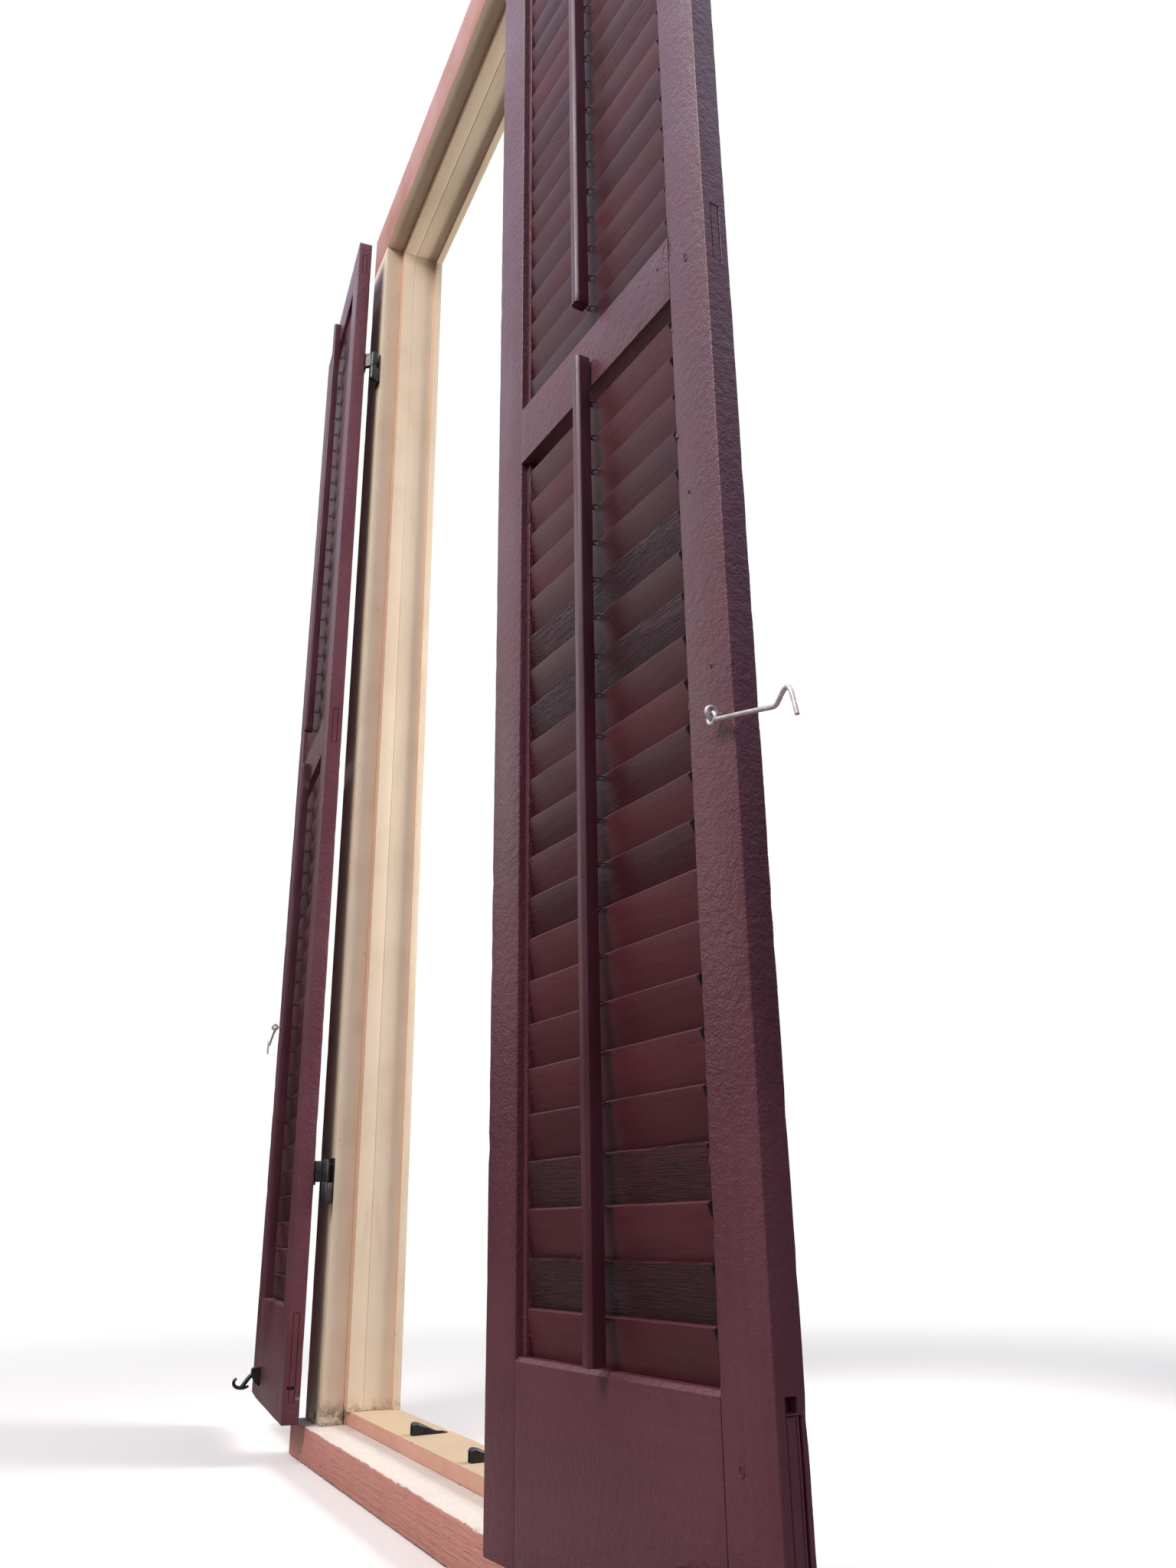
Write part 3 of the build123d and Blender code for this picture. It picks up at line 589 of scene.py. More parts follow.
# Round wire along a smooth line through its control points; widths swell or thin it
def wire(points, radius, sides=3, widths=None):
    curve = bpy.data.curves.new("wire", "CURVE")
    curve.dimensions = "3D"
    curve.bevel_depth = radius
    curve.bevel_resolution = sides
    curve.use_fill_caps = True
    curve.resolution_u = make.wireCurve
    spline = curve.splines.new("NURBS")
    spline.points.add(len(points) - 1)
    for number, (point, co) in enumerate(zip(spline.points, points)):
        point.co = (*co, 1)
        point.radius = widths[number] if widths else 1
    spline.order_u = 3
    spline.use_endpoint_u = True
    holder = bpy.data.objects.new("wire", curve)
    link(holder)
    mesh = bpy.data.meshes.new_from_object(holder)
    bm = bmesh.new()
    bm.from_mesh(mesh)
    bmesh.ops.remove_doubles(bm, verts=bm.verts, dist=make.wireMerge)
    bpy.data.objects.remove(holder)
    bpy.data.curves.remove(curve)
    bpy.data.meshes.remove(mesh)
    return bm


# A closed ring of round wire about the x or the y axis
def ring(radius, wireRadius, axis, centre):
    bm = bmesh.new()
    bmesh.ops.create_circle(bm, segments=make.wireSegments, radius=wireRadius)
    bmesh.ops.rotate(bm, verts=bm.verts, matrix=Matrix.Rotation(math.pi / 2, 3, "X"))
    bmesh.ops.translate(bm, verts=bm.verts, vec=(radius, 0, 0))
    bmesh.ops.spin(bm, geom=bm.edges[:], cent=(0, 0, 0), axis=(0, 0, 1), angle=2 * math.pi,
                   steps=make.ringSteps, use_merge=True)
    bmesh.ops.remove_doubles(bm, verts=bm.verts, dist=make.wireMerge)
    turn = Matrix.Rotation(math.pi / 2, 4, {"x": "Y", "y": "X"}[axis])
    return moved(bm, Matrix.Translation(centre) @ turn)


def turnedPin(radius, low, high, ease, segments=make.pinSegments):
    bm = bmesh.new()
    bmesh.ops.create_cone(bm, cap_ends=True, segments=segments, radius1=radius, radius2=radius,
                          depth=high - low)
    easeEdges(bm, [e for e in bm.edges if span(e, 2) < make.flatEdge], ease)
    bmesh.ops.translate(bm, verts=bm.verts, vec=(0, 0, (low + high) / 2))
    return bm


# A round slotted head that stands along its own z
def screwHead(radius, height, place):
    bm = bmesh.new()
    bmesh.ops.create_cone(bm, cap_ends=True, segments=make.screwSegments, radius1=radius,
                          radius2=radius * make.screwCrown, depth=height)
    bmesh.ops.translate(bm, verts=bm.verts, vec=(0, 0, height / 2))
    for side in (-make.slotHalf, make.slotHalf):
        cutAcross(bm, 1, side * radius)
    top = [f for f in bm.faces if f.normal.z > 0.9
           and abs(f.calc_center_median().y) < make.slotInside * radius]
    bmesh.ops.inset_region(bm, faces=top, thickness=radius * make.slotEase,
                           depth=-height * make.slotSink)
    return moved(bm, place)


print("making steps ready")


# Leaf places, in metres: u along the leaf, v from its shown face back, z up.
# Louvres are given by their first and last height and their count
leafSettings = {
    "foot": -2.225, "width": 0.406, "height": 2.171, "thick": 0.0254,
    "stile": 0.057, "bottomRail": 0.158, "midRail": (1.0575, 1.1295), "topRail": 2.089,
    "strip": (0.007, 0.019), "stripWidth": 0.007,
    "lower": (0.1745, 1.0225, 22), "upper": (1.1433, 2.0594, 24),
    "corners": {"right": (0.418196, -0.089857, 5.8, 1), "left": (-0.417304, -0.090014, 4.5, -1)},
}
leaf = named(leafSettings)


def leafPlace(side):
    x, y, swing, hand = leaf.corners[side]
    past = math.radians(swing)
    along = (hand * math.cos(past), math.sin(past), 0, 0)
    into = (-hand * math.sin(past), math.cos(past), 0, 0)
    return Matrix((along, into, (0, 0, 1, 0), (x, y, leaf.foot, 1))).transposed()


# A piece of one leaf, which rides on the leaf unless a body is named
def finishOnLeaf(side, word, parts, coat, node=None, body=None):
    nodes = [f"{side}_{node}"] if node else None
    finishPiece(f"{side}Hand{word}", parts, body or f"{side}_leaf", coat, nodes, leafPlace(side))


def louvreHeights(bank):
    low, high, count = leafSettings[bank]
    return [low + (high - low) * step / (count - 1) for step in range(count)]


# Stiles. Holes, scratch and tenons are spans of depth and height in the narrow face
stileSettings = {
    "ease": 0.0013, "cuts": 150, "drift": 0.00016, "chip": 0.0011, "near": 0.0016,
    "facing": 0.8, "onFace": 0.001, "patchReach": 0.03, "wear": 0.18,
    "tenonDepth": (0.0077, 0.0177), "tenonGap": 0.0008, "tenonSink": 0.0014, "tenonRise": 0.7,
    "tenons": [(0.0285, 0.1486), (1.0615, 1.1255), (2.093, 2.1425)], "holeEase": 0.0003,
    "holes": {
        ("left", "hinge_stile"): [((0.005, 0.0155), (0.046, 0.0505), 0.006)],
        ("right", "free_stile"): [((0.0080, 0.0178), (0.1495, 0.1592), 0.009),
                                  ((0.0182, 0.0208), (0.004, 0.1485), 0.005)]},
    "scratched": ("left", "hinge_stile"), "scratch": ((0.0185, 0.0245), (0.0327, 0.0337)),
    "scratchWear": 2.0, "rounded": ("left", "free_stile"), "roundRadius": 0.011,
}


# Cuts a rectangle into the narrow face of a stile and returns the faces inside it
def edgePatch(bm, edge, facing, depths, heights):
    s = named(stileSettings)

    def onFace(face, spread):
        middle = face.calc_center_median()
        return (face.normal.x * facing > s.facing and abs(middle.x - edge) < s.onFace
                and heights[0] - spread < middle.z < heights[1] + spread)

    for axis, cuts in ((1, depths), (2, heights)):
        for at in cuts:
            cutAcross(bm, axis, at, [f for f in bm.faces if onFace(f, s.patchReach)])
    return [f for f in bm.faces
            if onFace(f, 0) and depths[0] < f.calc_center_median().y < depths[1]]


# Wears the lower outer corner of a stile round
def roundCorner(bm, edge, radius):
    for vert in bm.verts:
        across, up = radius - abs(edge - vert.co.x), radius - vert.co.z
        reach = math.hypot(across, up)
        if across > 0 and up > 0 and reach > radius:
            vert.co.x += math.copysign(across * (1 - radius / reach), vert.co.x - edge)
            vert.co.z += up * (1 - radius / reach)


def makeStile(side, kind, start, seed):
    s = named(stileSettings)
    outline = rectangle(start, start + leaf.stile, 0, leaf.thick)
    bm = profileBoard(outline, 0, leaf.height, 2, s.ease, s.cuts)
    roughen(bm, seed, 2, s.drift, s.chip, s.near)
    edge, facing = (start, -1) if kind == "hinge_stile" else (start + leaf.stile, 1)
    for heights in s.tenons:
        ends = edgePatch(bm, edge, facing, s.tenonDepth, heights)
        bmesh.ops.inset_region(bm, faces=ends, thickness=s.tenonGap, depth=-s.tenonSink,
                               use_boundary=True)
        bmesh.ops.inset_region(bm, faces=ends, thickness=s.tenonGap,
                               depth=s.tenonSink * s.tenonRise)
    for depths, heights, sink in s.holes.get((side, kind), []):
        hole = edgePatch(bm, edge, facing, depths, heights)
        bmesh.ops.inset_region(bm, faces=hole, thickness=s.holeEase, depth=-sink,
                               use_boundary=True)
    markGrain(bm, 2, seed, s.wear)
    if (side, kind) == s.scratched:
        worn = bm.verts.layers.float["wear"]
        for face in edgePatch(bm, edge, facing, *s.scratch):
            for vert in face.verts:
                vert[worn] = s.scratchWear
    if (side, kind) == s.rounded:
        roundCorner(bm, edge, s.roundRadius)
    finishOnLeaf(side, f"Stile{kind[:4].title()}", [bm], leafCoat, kind)


# Rails
railSettings = {
    "ease": 0.0006, "cuts": 26, "drift": 0.00012, "chip": 0.0007, "near": 0.0012, "wear": 0.15,
    "rabbetFront": 0.01137, "lift": 0.02454, "crack": 0.0003,
    "bevel": {"bottom_rail": 0.0035, "mid_rail": 0.0006},
    "firstLouvre": {"bottom_rail": 0.0165, "mid_rail": 0.0138},
}


def makeRail(side, kind, low, high, seed):
    s = named(railSettings)
    outline = rectangle(0, leaf.thick, low, high)
    if kind != "top_rail":
        foot = high - (s.lift - s.firstLouvre[kind])
        bevel = s.bevel[kind]
        outline = [(0, low), (leaf.thick, low), (leaf.thick, foot), (s.rabbetFront, foot),
                   (s.rabbetFront, high), (bevel, high), (0, high - bevel)]
    start, end = leaf.stile + s.crack, leaf.width - leaf.stile - s.crack
    bm = profileBoard(outline, start, end, 0, s.ease, s.cuts)
    roughen(bm, seed, 0, s.drift, s.chip, s.near)
    markGrain(bm, 0, seed, s.wear)
    finishOnLeaf(side, f"Rail{kind.split('_')[0].title()}", [bm], leafCoat, kind)


# Louvres. Rough ones are given by their number from below
louvreSettings = {
    "width": 0.044, "thick": 0.006, "ease": 0.0017, "clip": 0.003, "brokenClip": 0.0035,
    # Each louvre's end notch is painted dark: painted shade, with its darkness and spread given
    # here
    "endGap": 0.0004, "gapHigh": 0.016, "gapWide": 0.007, "gapDark": 1.5, "gapSpread": 1.6,
    "gapShear": 0.0009, "tilt": 10, "depth": 0.013, "cuts": 22, "drift": 0.00028, "chip": 0.0009,
    "chipLeast": 0.4, "near": 0.0024, "start": 0.065, "bow": 0.0005, "twist": 0.012,
    "pinRadius": 0.003, "pinLength": 0.0072, "pinRoot": 0.001, "pinEase": 0.0004,
    "pinSegments": 16, "pinWear": 0.1, "stapleOff": 0.0068, "stapleAlong": 0.020,
    "stapleHalf": 0.004, "stapleWire": 0.00055, "stapleBend": 0.0012, "stapleRoot": 0.002,
    "fixedWear": (0.08, 0.12, 1.9), "movingWear": (0.06, 0.14, 2.3), "movingRow": 7.1,
    "roughMoving": {17: 1.0, 15: 0.9, 4: 1.0, 2: 0.85},
    "rough": {"upper": {22: 0.95, 9: 0.5}, "lower": {6: 0.7, 13: 0.5}},
}


# One louvre about its own middle: x along it, y through it and z across its width
def makeSlat(length, seed, wear):
    s = named(louvreSettings)
    bm = bmesh.new()
    bmesh.ops.create_cube(bm, size=1)
    bmesh.ops.scale(bm, verts=bm.verts, vec=(length, s.thick, s.width))
    corners = [e for e in bm.edges if span(e, 1) > s.thick / 2]
    broken = [e for e in corners if e.verts[0].co.x > 0 and e.verts[0].co.z > 0]
    easeEdges(bm, [e for e in corners if e not in broken], s.clip, segments=1)
    easeEdges(bm, broken, s.brokenClip, segments=2)
    easeEdges(bm, [e for e in bm.edges if span(e, 1) < s.thick / 2], s.ease)
    spans = [e for e in bm.edges if span(e, 0) > length / 2]
    bmesh.ops.subdivide_edges(bm, edges=spans, cuts=s.cuts, use_grid_fill=True)
    roughen(bm, seed, 0, s.drift, s.chip * (s.chipLeast + wear), s.near)
    cutAcross(bm, 2, s.width / 2 - s.gapHigh)
    cutAcross(bm, 0, length / 2 - s.gapWide)
    lean = s.bow * wander(seed * 1.3, 0.2, 0.4)
    twist = s.twist * wander(seed * 0.7, 4.2, 1.4)
    for vert in bm.verts:
        part = vert.co.x / length
        vert.co.y += lean * (1 - 4 * part * part)
        vert.co.y += twist * part * vert.co.z
    markGrain(bm, 0, seed, wear)
    worn = bm.verts.layers.float["wear"]
    # The top corner at the louvre's right end gets painted shade: wear below zero turns it near
    # black, in place of the shadow behind the notch
    spread = s.gapDark + s.gapSpread * wander(seed * 2.7, 1.1, 0.6)
    for vert in bm.verts:
        if vert.co.x > length / 2 - s.gapWide / 2 and vert.co.z > s.width / 2 - s.gapHigh / 2:
            vert[worn] = -spread  # below zero, the finish turns near black: painted shade in the end notch
            vert.co.x -= s.gapShear * spread
    return bm


# A louvre with its staple, set at its height in the leaf
def makeLouvre(z, wear, seed, pins):
    s = named(louvreSettings)
    start = s.start if pins else leaf.stile + leaf.stripWidth
    length = leaf.width - 2 * start
    parts = [makeSlat(length - s.endGap, seed, wear)]
    half, off, bend = s.stapleHalf, s.stapleOff, s.stapleBend
    bow = [(-half, -s.stapleRoot), (-half, -off + bend), (-half, -off), (-half + bend, -off),
           (half - bend, -off), (half, -off), (half, -off + bend), (half, -s.stapleRoot)]
    staple = wire([(x, y, s.stapleAlong) for x, y in bow], s.stapleWire, 1)
    parts.append(markGrain(staple, 0, seed, 0))
    if pins:
        for hand in (-1, 1):
            pin = turnedPin(s.pinRadius, length / 2 - s.pinRoot, length / 2 + s.pinLength,
                            s.pinEase, s.pinSegments)
            moved(pin, Matrix.Rotation(hand * math.pi / 2, 4, "Y"))
            parts.append(markGrain(pin, 0, seed, s.pinWear))
    tilt = Matrix.Rotation(math.radians(s.tilt), 4, "X")
    place = Matrix.Translation((leaf.width / 2, s.depth, z)) @ tilt
    return [moved(part, place) for part in parts]


stripSettings = {"ease": 0.0006, "cutEvery": 0.012, "drift": 0.00015, "near": 0.001,
                 "crack": 0.0004, "chip": (0.0005, 0.0009), "wear": (0.15, 0.9)}


# The two upright strips that carry the louvre pins; the left one may be pieced
def makeStrips(low, high, seed, cutAt=None):
    s = named(stripSettings)
    parts = []
    for number, start in enumerate((leaf.stile, leaf.width - leaf.stile - leaf.stripWidth)):
        outline = rectangle(start, start + leaf.stripWidth, *leaf.strip)
        spans = [(low, high)]
        if cutAt and number == 0:
            spans = [(low, cutAt - s.crack), (cutAt + s.crack, high)]
        for piece, (foot, top) in enumerate(spans):
            bm = profileBoard(outline, foot, top, 2, s.ease, int((top - foot) / s.cutEvery))
            own = seed + number + 5 * piece
            roughen(bm, own, 2, s.drift, s.chip[piece], s.near)
            parts.append(markGrain(bm, 2, own, s.wear[piece]))
    return parts


# A rough louvre has its own wear, and the others wander a little round a common one
def louvreWear(number, rough, row, least, spread, step):
    return rough.get(number, least + spread * abs(wander(number * step, row, 0.3)))


def makeFixedBank(side, bank, low, high, seed):
    s = named(louvreSettings)
    parts = []
    for number, z in enumerate(louvreHeights(bank), start=1):
        wear = louvreWear(number, s.rough[bank], seed, *s.fixedWear)
        parts += makeLouvre(z, wear, seed + number, False)
    finishOnLeaf(side, f"{bank.title()}Louvres", parts, louvreCoat, f"{bank}_louvres")
    strips = makeStrips(low, high, seed + 50)
    finishOnLeaf(side, f"{bank.title()}Strips", strips, leafCoat)


def makeMovingBank(seed, cutAt):
    s = named(louvreSettings)
    for number, z in enumerate(louvreHeights("lower"), start=1):
        wear = louvreWear(number, s.roughMoving, s.movingRow, *s.movingWear)
        node = f"louvre_{number:02d}"
        finishOnLeaf("right", f"Louvre{number:02d}", makeLouvre(z, wear, seed + number, True),
                     louvreCoat, node, f"right_{node}")
    strips = makeStrips(leaf.bottomRail, leaf.midRail[0], seed + 60, cutAt)
    finishOnLeaf("right", "PivotStrips", strips, leafCoat, "pivot_strips")


# Tilt rods
rodSettings = {
    "width": 0.013, "depth": 0.015, "backGap": 0.0015, "bevel": 0.0028, "ease": 0.0008,
    "upper": (1.159, 2.1207), "lower": (0.161, 1.0915), "cuts": 90, "drift": 0.00022,
    "chip": 0.0006, "near": 0.0022, "wear": 0.2, "sway": 0.0006, "swayWave": 5, "bulge": 0.6,
    "bulgeWave": 4, "root": 0.001,
    "stapleDepth": 0.002807, "stapleRise": 0.018515, "loop": 0.00185, "wire": 0.00055,
}


def makeRod(side, word, body, seed):
    s = named(rodSettings)
    low, high = rodSettings[word]
    middle = leaf.width / 2
    half, back, front = s.width / 2, -s.backGap, -s.backGap - s.depth
    outline = [(middle - half, back), (middle + half, back), (middle + half, front + s.bevel),
               (middle + half - s.bevel, front), (middle - half + s.bevel, front),
               (middle - half, front + s.bevel)]
    rod = profileBoard(outline, low, high, 2, s.ease, s.cuts)
    roughen(rod, seed, 2, s.drift, s.chip, s.near)
    for vert in rod.verts:
        vert.co.x += s.sway * wander(vert.co.z * s.swayWave, seed, 0)
        vert.co.y -= abs(s.bulge * s.sway * wander(vert.co.z * s.bulgeWave, seed, 7))
    parts = [markGrain(rod, 2, seed, s.wear)]
    root, near, far = back - s.root, s.stapleDepth - s.root, s.stapleDepth + s.loop
    for z in louvreHeights(word):
        foot, top = z + s.stapleRise - s.loop, z + s.stapleRise + s.loop
        loop = [(root, foot), (near, foot), (far, foot), (far, top), (near, top), (root, top)]
        points = [(middle, y, height) for y, height in loop]
        parts.append(markGrain(wire(points, s.wire, 1), 0, seed, 0))
    finishOnLeaf(side, f"{word.title()}Rod", parts, rodCoat, f"{word}_rod", body)


def makeLeaf(side, seed):
    makeStile(side, "hinge_stile", 0.0, seed + 1)
    makeStile(side, "free_stile", leaf.width - leaf.stile, seed + 2)
    makeRail(side, "bottom_rail", 0.0, leaf.bottomRail, seed + 3)
    makeRail(side, "mid_rail", *leaf.midRail, seed + 4)
    makeRail(side, "top_rail", leaf.topRail, leaf.height, seed + 5)
    makeFixedBank(side, "upper", leaf.midRail[1], leaf.topRail, seed + 20)
    makeRod(side, "upper", None, seed + 6)


# Craters and runs in the paint of the near leaf: place along and up, then sizes
markSettings = {
    "rim": 0.0007, "wideFrom": 0.005, "wideRim": 0.45, "stand": 0.0001, "wobble": 0.25, "wave": 300,
    "wear": 0.1, "craterSeed": 400, "runSeed": 410, "runWire": 0.0012,
    "runLine": [(0, 0.0009, 1), (-0.0003, 0.0004, 0.4), (-0.0001, 0.0009, 0)],
    "runWidths": [0.3, 0.7, 1.3],
    "craters": [(0.3757, 1.0837, 0.0024, 0.0042), (0.3688, 0.1142, 0.0021, 0.0034),
                (0.3309, 1.1065, 0.0010, 0.0012), (0.3467, 1.1134, 0.0060, 0.0105),
                (0.3810, 0.6720, 0.0014, 0.0018), (0.3640, 0.8420, 0.0012, 0.0016)],
    "runs": [(0.3500, 0.646, 0.010), (0.3499, 0.905, 0.007), (0.3500, 1.020, 0.006),
             (0.3499, 0.300, 0.009)],
}


def makePaintMarks():
    s = named(markSettings)
    parts = []
    for number, (u, z, wide, high) in enumerate(s.craters):
        rim = s.rim * (s.wideRim if wide > s.wideFrom else 1)
        mark = ring(1.0, rim / high, "y", (0, 0, 0))
        shrink = Matrix.Diagonal((wide, high, high, 1))
        moved(mark, Matrix.Translation((u, s.stand, z)) @ shrink)
        for vert in mark.verts:
            vert.co.x += s.wobble * wide * wander(vert.co.z * s.wave, number, 0)
        parts.append(markGrain(mark, 2, s.craterSeed + number, s.wear))
    for number, (u, z, length) in enumerate(s.runs):
        line = [(u + aside, out, z + length * share) for aside, out, share in s.runLine]
        run = wire(line, s.runWire, 3, s.runWidths)
        parts.append(markGrain(run, 2, s.runSeed + number, s.wear))
    finishOnLeaf("right", "PaintMarks", parts, leafCoat)


makePaintMarks()
makeLeaf("right", 10)
makeMovingBank(200, cutAt=0.9816)
makeRod("right", "lower", "right_lower_rod", 17)
print("right leaf made")
makeLeaf("left", 40)
makeFixedBank("left", "lower", leaf.bottomRail, leaf.midRail[0], 90)
makeRod("left", "lower", None, 47)
print("left leaf made")


# Hold-open hooks and their screw eyes; the line runs out and up from the ring
holdOpenSettings = {
    "u": 0.391, "v": -0.0092, "eyeZ": 0.626, "eyeRadius": 0.0046, "wire": 0.0019, "ringZ": 0.6214,
    "ringRadius": 0.0043, "shank": (-0.0051, -0.002, 0.0), "shankSides": 3, "sides": 4,
    "line": [(0.0037, -0.0022), (0.016, -0.0052), (0.040, -0.0105), (0.066, -0.0168),
             (0.0745, -0.0188), (0.0785, -0.0150), (0.084, -0.0098), (0.0885, -0.0088),
             (0.0925, -0.0140), (0.0962, -0.0330)],
}


def makeHoldOpen(side):
    s = named(holdOpenSettings)
    eye = ring(s.eyeRadius, s.wire, "x", (s.u, s.v, s.eyeZ))
    shank = wire([(s.u, v, s.eyeZ) for v in s.shank], s.wire, s.shankSides)
    finishOnLeaf(side, "ScrewEye", [eye, shank], wireCoat, "hook_eye")
    loop = ring(s.ringRadius, s.wire, "y", (s.u, s.v, s.ringZ))
    bar = wire([(s.u + out, s.v, s.ringZ + up) for out, up in s.line], s.wire, s.sides)
    finishOnLeaf(side, "HoldOpenHook", [loop, bar], wireCoat, "hold_open_hook",
                 f"{side}_hold_open_hook")


# Closing hooks and their brackets; stem and crescent run out and up from the pin, with widths
closingSettings = {
    "u": 0.306, "v": -0.009, "z": 0.045, "thick": 0.006, "cheek": 0.0022, "sideGap": 0.0003,
    "eyeRadius": 0.005, "plateHeight": 0.028, "plateThick": 0.0025, "ease": 0.0006, "bar": 0.0027,
    "pin": 0.0025, "pinEase": 0.0003, "pinSegments": 18, "ringRadius": 0.0037, "ringWire": 0.0013,
    "ringStretch": 2.2, "sides": 4, "slope": (0.8, 0.004), "noseSpan": (-0.007, 0.0025),
    "noseBack": 0.0025,
    "stem": [(-0.0010, -0.0030, 1.15), (-0.0070, -0.0085, 1.3), (-0.0125, -0.0155, 1.35),
             (-0.0160, -0.0205, 1.3), (-0.0195, -0.0240, 1.2)],
    "crescent": [(-0.0275, -0.0105, 0.75), (-0.0308, -0.0120, 0.9), (-0.0326, -0.0168, 0.95),
                 (-0.0303, -0.0218, 1.0), (-0.0250, -0.0244, 1.05), (-0.0188, -0.0250, 1.1),
                 (-0.0125, -0.0245, 0.95), (-0.0075, -0.0226, 0.6)],
}


def makeClosing(side):
    s = named(closingSettings)
    gap = s.thick / 2 + s.sideGap
    low, high = s.z + s.eyeRadius - s.plateHeight, s.z + s.eyeRadius
    nose = s.v - s.eyeRadius
    outline = [(0, low), (s.v * s.slope[0], low + s.slope[1]), (nose, s.z + s.noseSpan[0]),
               (nose, s.z + s.noseSpan[1]), (s.v - s.noseBack, high), (0, high)]
    parts = []
    for u in (s.u - gap - s.cheek, s.u + gap):
        parts.append(profileBoard(outline, u, u + s.cheek, 0, s.ease, 0))
    wide = gap + s.cheek
    plate = rectangle(s.u - wide, s.u + wide, low, high)
    parts.append(profileBoard(plate, -s.plateThick, 0, 1, s.ease, 0))
    pin = turnedPin(s.pin, -wide, wide, s.pinEase, s.pinSegments)
    turn = Matrix.Rotation(math.pi / 2, 4, "Y")
    parts.append(moved(pin, Matrix.Translation((s.u, s.v, s.z)) @ turn))
    finishOnLeaf(side, "CatchBracket", parts, ironCoat, "catch_bracket")
    parts = [ring(s.ringRadius, s.ringWire, "x", (s.u, s.v, s.z))]
    for vert in parts[0].verts:
        vert.co.x = s.u + (vert.co.x - s.u) * s.ringStretch
    for line in (s.stem, s.crescent):
        points = [(s.u, s.v + out, s.z + up) for out, up, width in line]
        parts.append(wire(points, s.bar, s.sides, [width for out, up, width in line]))
    finishOnLeaf(side, "ClosingHook", parts, ironCoat, "closing_hook", f"{side}_closing_hook")


for side in ("right", "left"):
    makeHoldOpen(side)
    makeClosing(side)
print("hooks made")


# Hinges. Screws are heights on the plate
hingeSettings = {
    "pivotX": 0.4108, "pivotY": -0.0495, "offFace": 0.0155, "feet": (0.302, 1.836), "height": 0.066,
    "plateWidth": 0.024, "plateThick": 0.003, "plateEase": 0.0007, "arm": 0.004, "armEase": 0.0006,
    "armGap": 0.0004, "barrel": 0.0058, "barrelEase": 0.0009, "barrelIn": 0.98, "pin": 0.003,
    "pinEase": 0.0011, "pinRoot": 0.001, "pinTop": 0.064, "screw": 0.0036, "screwHeight": 0.0013,
    "screwOut": 0.58, "screwStand": 0.0002, "casingStart": 0.0022, "leafStart": 0.0058,
    "casingBarrel": (0, 0.030), "leafBarrel": (0.0303, 0.062), "leafPivot": -0.0033,
    "casingScrews": (0.010, 0.033, 0.056), "leafScrews": (0.0333, 0.055),
}


# One half about its pin: x runs out along the plate, y from the pin to its seat, z up
def hingeHalf(start, plate, barrel, screws, pinTop=None):
    s = named(hingeSettings)
    foot, top = barrel
    near, seat = s.offFace - s.plateThick, s.offFace
    parts = [profileBoard(rectangle(start, start + s.plateWidth, *plate), near, seat, 1,
                          s.plateEase, 0)]
    elbow = start + s.barrel
    outline = [(-s.arm, 0), (s.barrel * s.barrelIn, 0), (elbow, near), (elbow, seat), (start, seat)]
    parts.append(profileBoard(outline, foot + s.armGap, top - s.armGap, 2, s.armEase, 0))
    parts.append(turnedPin(s.barrel, foot, top, s.barrelEase))
    if pinTop:
        parts.append(turnedPin(s.pin, top - s.pinRoot, pinTop, s.pinEase))
    turn = Matrix.Rotation(math.pi / 2, 4, "X")
    for z in screws:
        at = (start + s.plateWidth * s.screwOut, near + s.screwStand, z)
        parts.append(screwHead(s.screw, s.screwHeight, Matrix.Translation(at) @ turn))
    return parts


def makeHinges():
    s = named(hingeSettings)
    parts = []
    for hand in (1, -1):
        for foot in s.feet:
            place = Matrix(((hand, 0, 0, hand * s.pivotX), (0, 1, 0, s.pivotY),
                            (0, 0, 1, leaf.foot + foot), (0, 0, 0, 1)))
            half = hingeHalf(s.casingStart, (0, s.height), s.casingBarrel, s.casingScrews, s.pinTop)
            parts += [moved(part, place) for part in half]
    finishPiece("casingHinges", parts, "window_frame", ironCoat, ["casing_hinges"])
    plate = (s.leafBarrel[0] - s.arm, s.leafBarrel[1])
    for side in ("right", "left"):
        parts = []
        for foot in s.feet:
            place = Matrix(((1, 0, 0, s.leafPivot), (0, -1, 0, leaf.thick + s.offFace),
                            (0, 0, 1, foot), (0, 0, 0, 1)))
            half = hingeHalf(s.leafStart, plate, s.leafBarrel, s.leafScrews)
            parts += [moved(part, place) for part in half]
        finishOnLeaf(side, "Hinges", parts, ironCoat, "hinges")


makeHinges()
print("hinges made")


# Window frame
frameSettings = {
    "halfOpening": 0.4105, "casingWidth": 0.100, "casingThick": 0.034, "casingEase": 0.0012,
    "rabbet": 0.0015, "rabbetWidth": 0.0155, "headFoot": -0.050, "sillTop": -2.229,
    "subTop": -2.210, "hidden": 0.015, "depth": 0.075, "stopStep": 0.020, "stopDepth": 0.022,
    "beadStep": 0.012, "jambDepth": 0.063, "jambEase": 0.0005, "jambChip": 0.0003,
    "jambGap": 0.0001, "quirk": 0.0012, "sillThick": 0.048, "sillNose": 0.020, "horn": 0.0065,
    "sillArris": 0.0028, "sillDrift": 0.00025, "sillChip": 0.0022, "sillNear": 0.0045,
    "subFront": 0.003, "subEase": 0.0014, "subChip": 0.0012, "drift": 0.00018, "chip": 0.0006,
    "near": 0.0025, "wear": 0.1, "casingCuts": 150, "headCuts": 80, "jambCuts": 120,
    "headJambCuts": 60, "sillCuts": 170, "subCuts": 120, "casingSeed": 300, "headSeed": 303,
    "jambSeed": 310, "headJambSeed": 313, "sillSeed": 320, "subSeed": 321,
}
frameChip = frameSettings["chip"]


